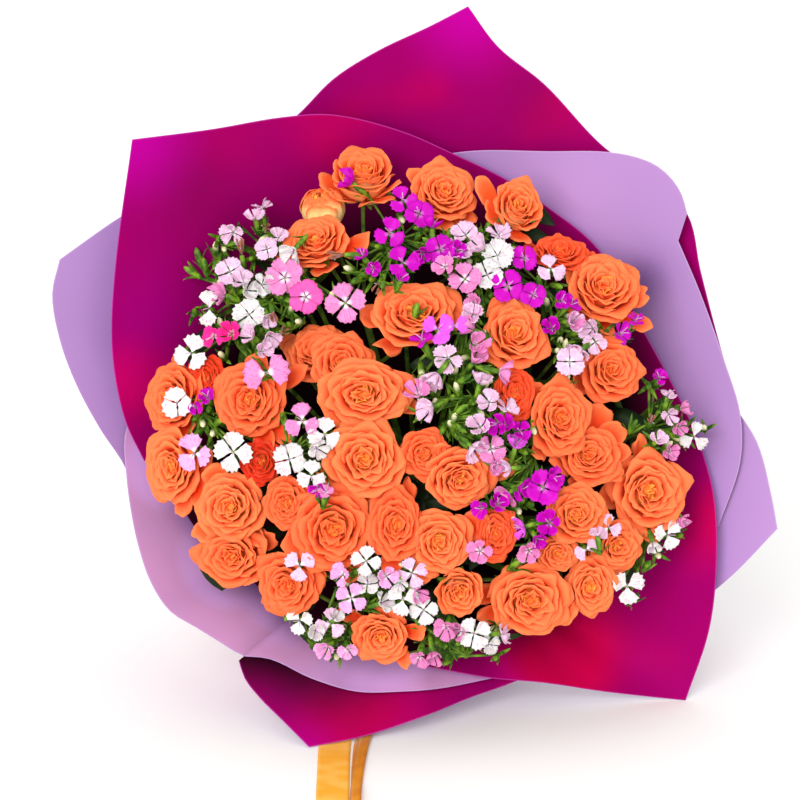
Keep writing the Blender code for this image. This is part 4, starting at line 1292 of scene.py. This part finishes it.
def film_marks(name, here, from_rim):
    """Distance from the rim, how far the place lies in a patch and in painted shade under what is over it,
    in a fold or in a shadow, and how far it lies from painted light at the sheet's tip, in a brighter spot
    or near the roses;
    distances in tenths of a metre."""

    def spotted(spots):
        return sum(spot[3] * math.exp(-((here - Vector(spot[:2])).length / spot[2]) ** 2) for spot in spots)

    pinker, lit = PINKER.get(name, (0, 0))
    patch = pinker if name in LILAC_INSIDE else spotted(PATCHES)
    # Painted light is strongest at the sheet's tip.
    tip = (here - Vector(TIPS[name])).length / 100 if name in TIPS else NO_TIP
    angle, distance = from_tie(here)
    # Painted shade under the flowers, darkest towards the tie.
    shade = 1 - eased((distance / wrap_profile(angle)[0] - 0.7) / 0.22)
    # Painted light in brighter spots of some sheets.
    if name in PAINTED_LIGHT_SPOTS:
        tip = min(tip, TIP_REACH * (1 - spotted(PAINTED_LIGHT_SPOTS[name])))
    # Painted light on the pinker lilac near the roses.
    if lit:
        tip = eased(min((here - Vector(rose[:2])).length - rose[2] / 2 for rose in ALL_ROSES) / lit)
    # Painted shade of soft folds and shadows.
    shade = max(shade, spotted(PAINTED_SHADE_SPOTS.get(name, ())))
    # The bottom tip sheet has less painted light at its tip, and a painted shadow under the rim of the front
    # bottom sheet that fades to the right.
    if name == "bottom_tip_sheet":
        tip += 0.3
        under = min((here - point).length for point in FRONT_RIM)
        shade = max(shade, (1 - eased((under + 6) / 46)) * (1 - eased((here.x + 90) / 110)))
    # The front inner sheet lies deep under the roses: painted shade all over, and no lit edge.
    if name == "front_inner_sheet":
        shade, from_rim = 0.9, 100
    return from_rim / 100, min(patch, 1.0), shade, tip


# The film's colours: painted light at its tips, elsewhere, in patches, painted shade, and at its edge.
FILM_COLOURS = {
    "magenta": ("#AA0288", "#8E015A", "#BC0244", "#1C0810", "#AC3490"),
    "lilac": ("#C896D0", "#A47EB4", "#C48CBA", "#6A4A80", "#B090C0"),
}
SKIRT_ROWS = 8
SLANT_ROWS = 27
EDGE = 0.8  # width of the cut edge that catches the light


def film_sheet(name, layer, rim, thickness, materials):
    """One sheet of film: a skirt behind the tie, gathered at it and fanned out to its rim."""
    fine = rounded_rim(rim)
    rows = SKIRT_ROWS + SLANT_ROWS
    bm = bmesh.new()
    store = bm.verts.layers.float_color.new("film")
    cells = grid(bm, len(fine), rows)
    for vert, column, row in cells:
        spoke = fine[column] - TIE
        angle, length = from_tie(fine[column])
        if row < SKIRT_ROWS:
            out = SKIRT_END + (TIE_BACK - SKIRT_END) * row / (SKIRT_ROWS - 1)
            vert.co = skirt_point(angle, out, layer)
            vert[store] = (1, 0, 0, NO_TIP)
            continue
        start = WRAP_TIE_RADIUS + layer * LAYER_PITCH
        step = ((row - SKIRT_ROWS) / (SLANT_ROWS - 2)) ** 1.25
        radius = min(start + (length - EDGE - start) * step, length)
        if row == rows - 1:
            radius = length
        vert.co = sheet_point(angle, radius, layer)
        vert[store] = film_marks(name, TIE + spoke.normalized() * radius, length - radius)
    middle = cells[len(cells) // 2][0]
    inward = place(*TIE, -100) - middle.co
    bm.normal_update()
    if middle.normal.dot(inward) < 0:
        bmesh.ops.reverse_faces(bm, faces=bm.faces)
    inside, outside = ("lilac", "magenta") if name in LILAC_INSIDE else ("magenta", "lilac")
    faces = [materials[inside][0], materials[outside][1]]
    piece = finish_piece(f"{name}_film", bm, faces, [name])
    thicken(piece, thickness, 1)
    width, length, area = FLAT_CUTS[name]


# ---------------------------------------------------------------- ribbon

def ribbon_strip(node, rings, closed, material):
    """A ribbon through rings of points across its width."""
    name = f"{node}_satin"
    bm = bmesh.new()
    store = bm.verts.layers.float_color.new("film")
    wide = len(rings[0])
    travelled = [0.0]
    for before, after in zip(rings, rings[1:]):
        travelled.append(travelled[-1] + (after[wide // 2] - before[wide // 2]).length)
    for vert, column, row in grid(bm, wide, len(rings)):
        vert.co = rings[row][column]
        vert[store] = (column / (wide - 1), travelled[row], 0, 1)
    if closed:
        bmesh.ops.remove_doubles(bm, verts=bm.verts, dist=0.05 * MM)
    piece = finish_piece(name, bm, [material], [node])
    thicken(piece, SATIN_THICKNESS)


def across_stems(at):
    """The ribbon's width at a point of a band round the stems: from its back edge to its front one."""
    return [place(at.x, at.y, RIBBON_BACK + RIBBON_WIDTH * k / 5) for k in range(6)]


def tail_rings(route):
    """Rings of a tail that drops from the knot and runs forward along the surface."""
    knots = [on_surface(*stop[:3]) for stop in route]
    rings = []
    count = 9
    for i in range(len(knots) - 1):
        before = knots[i - 1] if i else knots[0] * 2 - knots[1]
        after = knots[i + 2] if i + 2 < len(knots) else knots[-1] * 2 - knots[-2]
        third = (knots[i + 1] - knots[i]).length / 3
        leave = (knots[i + 1] - before).normalized() * third
        arrive = (after - knots[i]).normalized() * third
        line = interpolate_bezier(knots[i], knots[i] + leave, knots[i + 1] - arrive, knots[i + 1], count)
        for k, at in enumerate(line[:-1] if i + 2 < len(knots) else line):
            along = (line[min(k + 1, count - 1)] - line[max(k - 1, 0)]).normalized()
            width = route[i][3] + (route[i + 1][3] - route[i][3]) * k / (count - 1)
            rings.append(pleated_ring(at, along, width))
    return rings


def pleated_ring(at, along, width):
    """The ribbon across at a point of a tail: flat, or folded in three lengthwise and, where it looks
    narrower than that, tilted."""
    level = Vector((0, 0, 1)).cross(along).normalized()
    lift = along.cross(level).normalized()
    folded = max(width, RIBBON_WIDTH / 3)
    middle = (RIBBON_WIDTH - folded) / 2
    outer = (RIBBON_WIDTH - middle) / 2
    tilt = math.acos(min(1.0, width / folded))
    knots = [(k * RIBBON_WIDTH / 3, 0) for k in range(4)]
    if middle > 0.5:
        knots = [(0, 0), (outer, 0.1), (outer - middle, 0.6), (folded, 0.9)]
    ring = []
    for k in range(10):
        low = min(k // 3, 2)
        part = (k - 3 * low) / 3
        aside = knots[low][0] + (knots[low + 1][0] - knots[low][0]) * part - folded / 2
        rise = knots[low][1] + (knots[low + 1][1] - knots[low][1]) * part
        turned_aside = aside * math.cos(tilt) - rise * math.sin(tilt)
        turned_rise = (aside + folded / 2) * math.sin(tilt) + rise * math.cos(tilt)
        ring.append(at + (level * turned_aside + lift * turned_rise) * MM)
    for point in ring:
        point.z = max(point.z, 0.3 * MM)
    return ring


# ---------------------------------------------------------------- settings

class BouquetStageSettings(bpy.types.PropertyGroup):
    floor_colour: FloatVectorProperty(
        name="Floor colour", description="Colour of the plain floor", subtype="COLOR", size=4, min=0, max=1,
        default=srgb("#FBFAF8"))
    key_strength: FloatProperty(
        name="Key light", description="Strength of the soft main light", default=2.7, min=0)
    sky_strength: FloatProperty(
        name="Fill", description="Strength of the even light from all round", default=0.98, min=0)


class BouquetFlowerSettings(bpy.types.PropertyGroup):
    rose_petals: IntProperty(
        name="Petals", description="Petals of an open rose", default=38, min=8, max=60)
    petal_thickness: FloatProperty(
        name="Petal thickness", description="Thickness of a rose petal in millimetres", default=0.4, min=0.1)


class BouquetWrapSettings(bpy.types.PropertyGroup):
    film_thickness: FloatProperty(
        name="Film thickness", description="Thickness of the film in millimetres, drawn thicker than it is",
        default=0.3, min=0.05, max=1)


# ---------------------------------------------------------------- operators

class BOUQUET_OT_stage(bpy.types.Operator):
    """Adds the floor, the lights and the camera"""
    bl_idname = "bouquet.stage"
    bl_label = "Stage"

    def execute(self, context):
        settings = context.scene.bouquet_stage
        bm = bmesh.new()
        bmesh.ops.create_grid(bm, x_segments=1, y_segments=1, size=FLOOR_HALF)
        mesh = bpy.data.meshes.new("floor")
        bm.to_mesh(mesh)
        bm.free()
        material, _ = new_material(
            "matte studio floor", Roughness=0.9, Base_Color=settings.floor_colour, Specular_IOR_Level=0.1)
        mesh.materials.append(material)
        floor = bpy.data.objects.new("floor", mesh)
        context.scene.collection.objects.link(floor)

        world = bpy.data.worlds.new("even studio light")
        world.use_nodes = True
        sky = world.node_tree.nodes["Background"]
        sky.inputs["Color"].default_value = (1, 1, 1, 1)
        sky.inputs["Strength"].default_value = settings.sky_strength
        context.scene.world = world

        target = place(0, 0, 0)
        key = bpy.data.lights.new("large soft lamp", "SUN")
        key.angle = math.radians(35)
        key.energy = settings.key_strength
        lamp = bpy.data.objects.new("large soft lamp", key)
        context.scene.collection.objects.link(lamp)
        lamp.rotation_euler = turned(*LAMP_FROM).to_track_quat("Z", "Y").to_euler()

        lens = bpy.data.cameras.new("camera")
        lens.sensor_width = 36
        lens.lens = lens.sensor_width * LOOK_DISTANCE / VIEW_SIDE
        camera = bpy.data.objects.new("camera", lens)
        context.scene.collection.objects.link(camera)
        camera.location = target + turned(0, 0, LOOK_DISTANCE) * MM
        camera.rotation_euler = (target - camera.location).to_track_quat("-Z", "Y").to_euler()
        context.scene.camera = camera
        context.scene.view_settings.view_transform = "Standard"
        return {"FINISHED"}


class BOUQUET_OT_roses(bpy.types.Operator):
    """Adds the sprays of garden roses"""
    bl_idname = "bouquet.roses"
    bl_label = "Roses"

    def execute(self, context):
        settings = context.scene.bouquet_flowers
        heads, spots = all_spots()
        materials = {
            "rose": [rose_petal_material(f"fresh orange rose petal {side}", *shades)
                     for side, shades in ROSE_COLOURS.items()],
            "green": green_material("rose stem and sepals", "#84A030", "#4E7420"),
        }
        first = 0
        for number, roses in ROSE_SPRAYS.items():
            depths = ROSE_DEPTHS[first:first + len(roses)]
            rose_spray(
                number, roses, depths, heads[number - 1], spots[number - 1], settings.rose_petals,
                settings.petal_thickness, materials)
            first += len(roses)
        return {"FINISHED"}


class BOUQUET_OT_sweet_williams(bpy.types.Operator):
    """Adds the stems of sweet williams"""
    bl_idname = "bouquet.sweet_williams"
    bl_label = "Sweet williams"

    def execute(self, context):
        heads, spots = all_spots()
        materials = {
            "floret": floret_material(),
            "leaf": green_material("sweet william leaves", "#7EA42A", "#38601A"),
        }
        for number, (colour, florets) in DIANTHUS_STEMS.items():
            order = len(ROSE_SPRAYS) + number - 1
            dianthus_stem(number, colour, florets, heads[order], spots[order], materials)
        return {"FINISHED"}


class BOUQUET_OT_wrap(bpy.types.Operator):
    """Adds the sheets of two-tone film"""
    bl_idname = "bouquet.wrap"
    bl_label = "Wrapping film"

    def execute(self, context):
        materials = {
            colour: [film_material(f"matte film {colour} {side}", *shades, side == "inside")
                     for side in ("inside", "outside")]
            for colour, shades in FILM_COLOURS.items()}
        for name, (layer, rim) in SHEETS.items():
            film_sheet(name, layer, rim, context.scene.bouquet_wrap.film_thickness, materials)
        return {"FINISHED"}


class BOUQUET_OT_ribbon(bpy.types.Operator):
    """Adds the satin ribbon, and gives the tape that it hides its material"""
    bl_idname = "bouquet.ribbon"
    bl_label = "Ribbon and tape"

    def execute(self, context):
        satin = ribbon_material("woven amber satin", "#FFB028", "#FFC050")
        # The right tail is drawn in a darker copy of the satin, as painted shade.
        shadowed = ribbon_material("woven amber satin reverse", "#D07C00", "#DE8E04")
        band = [across_stems(TIE + ray(2 * math.pi * k / 48) * BAND_RADIUS) for k in range(49)]
        ribbon_strip("ribbon_band", band, True, satin)

        spoke = ray(KNOT_ANGLE)
        for name, side in (("ribbon_loop_left", -1), ("ribbon_loop_right", 1)):
            tangent = Vector((-spoke.y, spoke.x)) * side
            start = TIE + spoke * KNOT_RADIUS + tangent * BOW_START
            rings = []
            for k in range(41):
                turn = 2 * math.pi * k / 40
                reach = BOW_LENGTH * (1 - math.cos(turn)) / 2
                swell = BOW_SWELL * math.sin(turn) * (0.25 + 0.75 * reach / BOW_LENGTH)
                rings.append(across_stems(start + tangent * reach + spoke * swell * side))
            ribbon_strip(name, rings, True, satin)
        for name, route in TAILS.items():
            # The right tail takes the copy in painted shade.
            side = shadowed if name.endswith("right") else satin
            ribbon_strip(name, tail_rings(route), False, side)

        at = TIE + spoke * KNOT_RADIUS
        bm = bmesh.new()
        points = [place(at.x, at.y, RIBBON_BACK + depth) for depth, _ in KNOT_SHAPE]
        tube(bm, points, [radius for _, radius in KNOT_SHAPE], 12)
        bmesh.ops.recalc_face_normals(bm, faces=bm.faces)
        finish_piece("ribbon_knot_satin", bm, [satin], ["ribbon_knot"])

        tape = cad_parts["stem_tie"]
        tape.data.materials.clear()
        tape.data.materials.append(tape_material())
        return {"FINISHED"}


class BOUQUET_PT_panel(bpy.types.Panel):
    """Buttons for the bouquet's pieces"""
    bl_label = "Garden rose bouquet"
    bl_space_type = "VIEW_3D"
    bl_region_type = "UI"
    bl_category = "Bouquet"

    def draw(self, context):
        layout = self.layout
        for group in SETTINGS:
            settings = getattr(context.scene, group)
            box = layout.box()
            for name in settings.bl_rna.properties.keys():
                if name not in ("rna_type", "name"):
                    box.prop(settings, name)
        for operator in OPERATORS:
            layout.operator(operator.bl_idname)


OPERATORS = (
    BOUQUET_OT_stage,
    BOUQUET_OT_roses,
    BOUQUET_OT_sweet_williams,
    BOUQUET_OT_wrap,
    BOUQUET_OT_ribbon,
)
SETTINGS = {
    "bouquet_stage": BouquetStageSettings,
    "bouquet_flowers": BouquetFlowerSettings,
    "bouquet_wrap": BouquetWrapSettings,
}


def register():
    for each in (*SETTINGS.values(), *OPERATORS, BOUQUET_PT_panel):
        bpy.utils.register_class(each)
    for name, group in SETTINGS.items():
        setattr(bpy.types.Scene, name, PointerProperty(type=group))


def unregister():
    for name in SETTINGS:
        delattr(bpy.types.Scene, name)
    for each in reversed((*SETTINGS.values(), *OPERATORS, BOUQUET_PT_panel)):
        bpy.utils.unregister_class(each)


def main():
    register()
    bpy.ops.bouquet.stage()
    bpy.ops.bouquet.roses()
    bpy.ops.bouquet.sweet_williams()
    bpy.ops.bouquet.wrap()
    bpy.ops.bouquet.ribbon()


if __name__ == "__main__":
    main()
